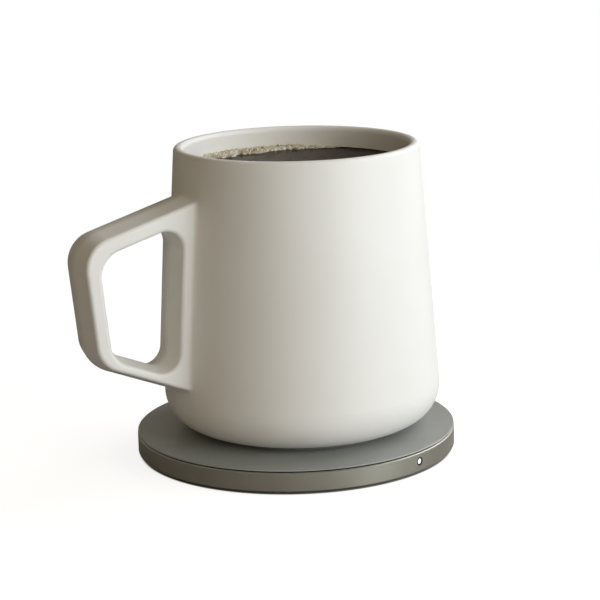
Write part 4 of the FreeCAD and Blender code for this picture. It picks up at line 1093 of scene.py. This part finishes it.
def froth_crust(finish):
    """A crescent of froth against the wall, domed, lumpy and open at neither end."""
    points, faces = [], []
    loop = FROTH_ACROSS + 4
    for step in range(FROTH_STEPS + 1):
        turn = FROTH_START + (FROTH_END - FROTH_START) * step / FROTH_STEPS
        wide = froth_width(turn)
        rise = min(FROTH_TALLEST, wide * 0.32)
        wall = wall_radius(DRINK_LEVEL) - FROTH_PLAY
        for index in range(FROTH_ACROSS):
            inward = index / (FROTH_ACROSS - 1)
            dome = math.sin(math.pi * (0.22 + 0.78 * inward)) ** 0.7
            spot = Vector(on_circle(wall - wide * inward, turn, 0.0))
            lumps = 0.5 * field.noise(spot * 900.0) + 0.35 * field.noise(spot * 2300.0)
            up = rise * dome * (1.0 + lumps)
            reach = wall - wide * inward - up * TAPER
            points.append(on_circle(reach, turn, DRINK_LEVEL + up, MUG_AXIS))
        for inward, sink in ((1.0, 0.0004), (0.66, 0.0006), (0.33, 0.0006), (0.0, 0.0004)):
            points.append(on_circle(wall - wide * inward, turn, DRINK_LEVEL - sink, MUG_AXIS))
    for step in range(FROTH_STEPS):
        for index in range(loop):
            beside = (index + 1) % loop
            low, high = step * loop, (step + 1) * loop
            faces.append((low + index, high + index, high + beside, low + beside))
    faces.append(tuple(range(loop)))
    faces.append(tuple(reversed(range(FROTH_STEPS * loop, (FROTH_STEPS + 1) * loop))))
    crust = mesh_piece("froth_crust", points, faces)
    turned = bmesh.new()
    turned.from_mesh(crust.data)
    bmesh.ops.recalc_face_normals(turned, faces=turned.faces)
    turned.to_mesh(crust.data)
    turned.free()
    crust.data.materials.append(finish)
    return crust


def froth_bubbles(crust, finish):
    """Bubbles of many sizes sunk in the crust's upper side."""
    sizes = {"Per square metre": BUBBLES_PER_AREA, "Smallest": BUBBLE_SMALLEST,
             "Largest": BUBBLE_LARGEST, "Seed": 7}
    tree, given = rule_tree("bubble_rule", sizes)
    normal = put(tree, "GeometryNodeInputNormal").outputs["Normal"]
    upward = put(tree, "ShaderNodeSeparateXYZ", {"Vector": normal}).outputs["Z"]
    top = put(tree, "FunctionNodeCompare", {
        "A": upward, "B": 0.2,
    }, data_type="FLOAT", operation="GREATER_THAN")
    spots = put(tree, "GeometryNodeDistributePointsOnFaces", {
        "Mesh": given["Geometry"], "Selection": top.outputs["Result"],
        "Density": given["Per square metre"], "Seed": given["Seed"],
    }).outputs["Points"]
    chance = put(tree, "FunctionNodeRandomValue", {
        "Min": 0.0, "Max": 1.0, "Seed": given["Seed"],
    }, data_type="FLOAT").outputs["Value"]
    skewed = sum_of(tree, "POWER", chance, 3.0)
    size = put(tree, "ShaderNodeMapRange", {
        "Value": skewed, "To Min": given["Smallest"], "To Max": given["Largest"],
    }).outputs["Result"]
    ball = put(tree, "GeometryNodeMeshIcoSphere", {
        "Radius": 1.0, "Subdivisions": 2,
    }).outputs["Mesh"]
    placed = put(tree, "GeometryNodeInstanceOnPoints", {
        "Points": spots, "Instance": ball, "Scale": size,
    }).outputs["Instances"]
    source = link_object(bpy.data.objects.new("bubble_bed", crust.data.copy()))
    return ruled_piece("froth_bubbles", tree, placed, finish, sizes, source)


drink = turned_solid("drink", drink_profile(), DRINK_AROUND, MUG_AXIS)
drink.data.materials.append(black_coffee())
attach(drink, "mug")

froth = froth_finish()
crust = froth_crust(froth)
bubbles = froth_bubbles(crust, froth)
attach(crust, "mug")
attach(bubbles, "mug")
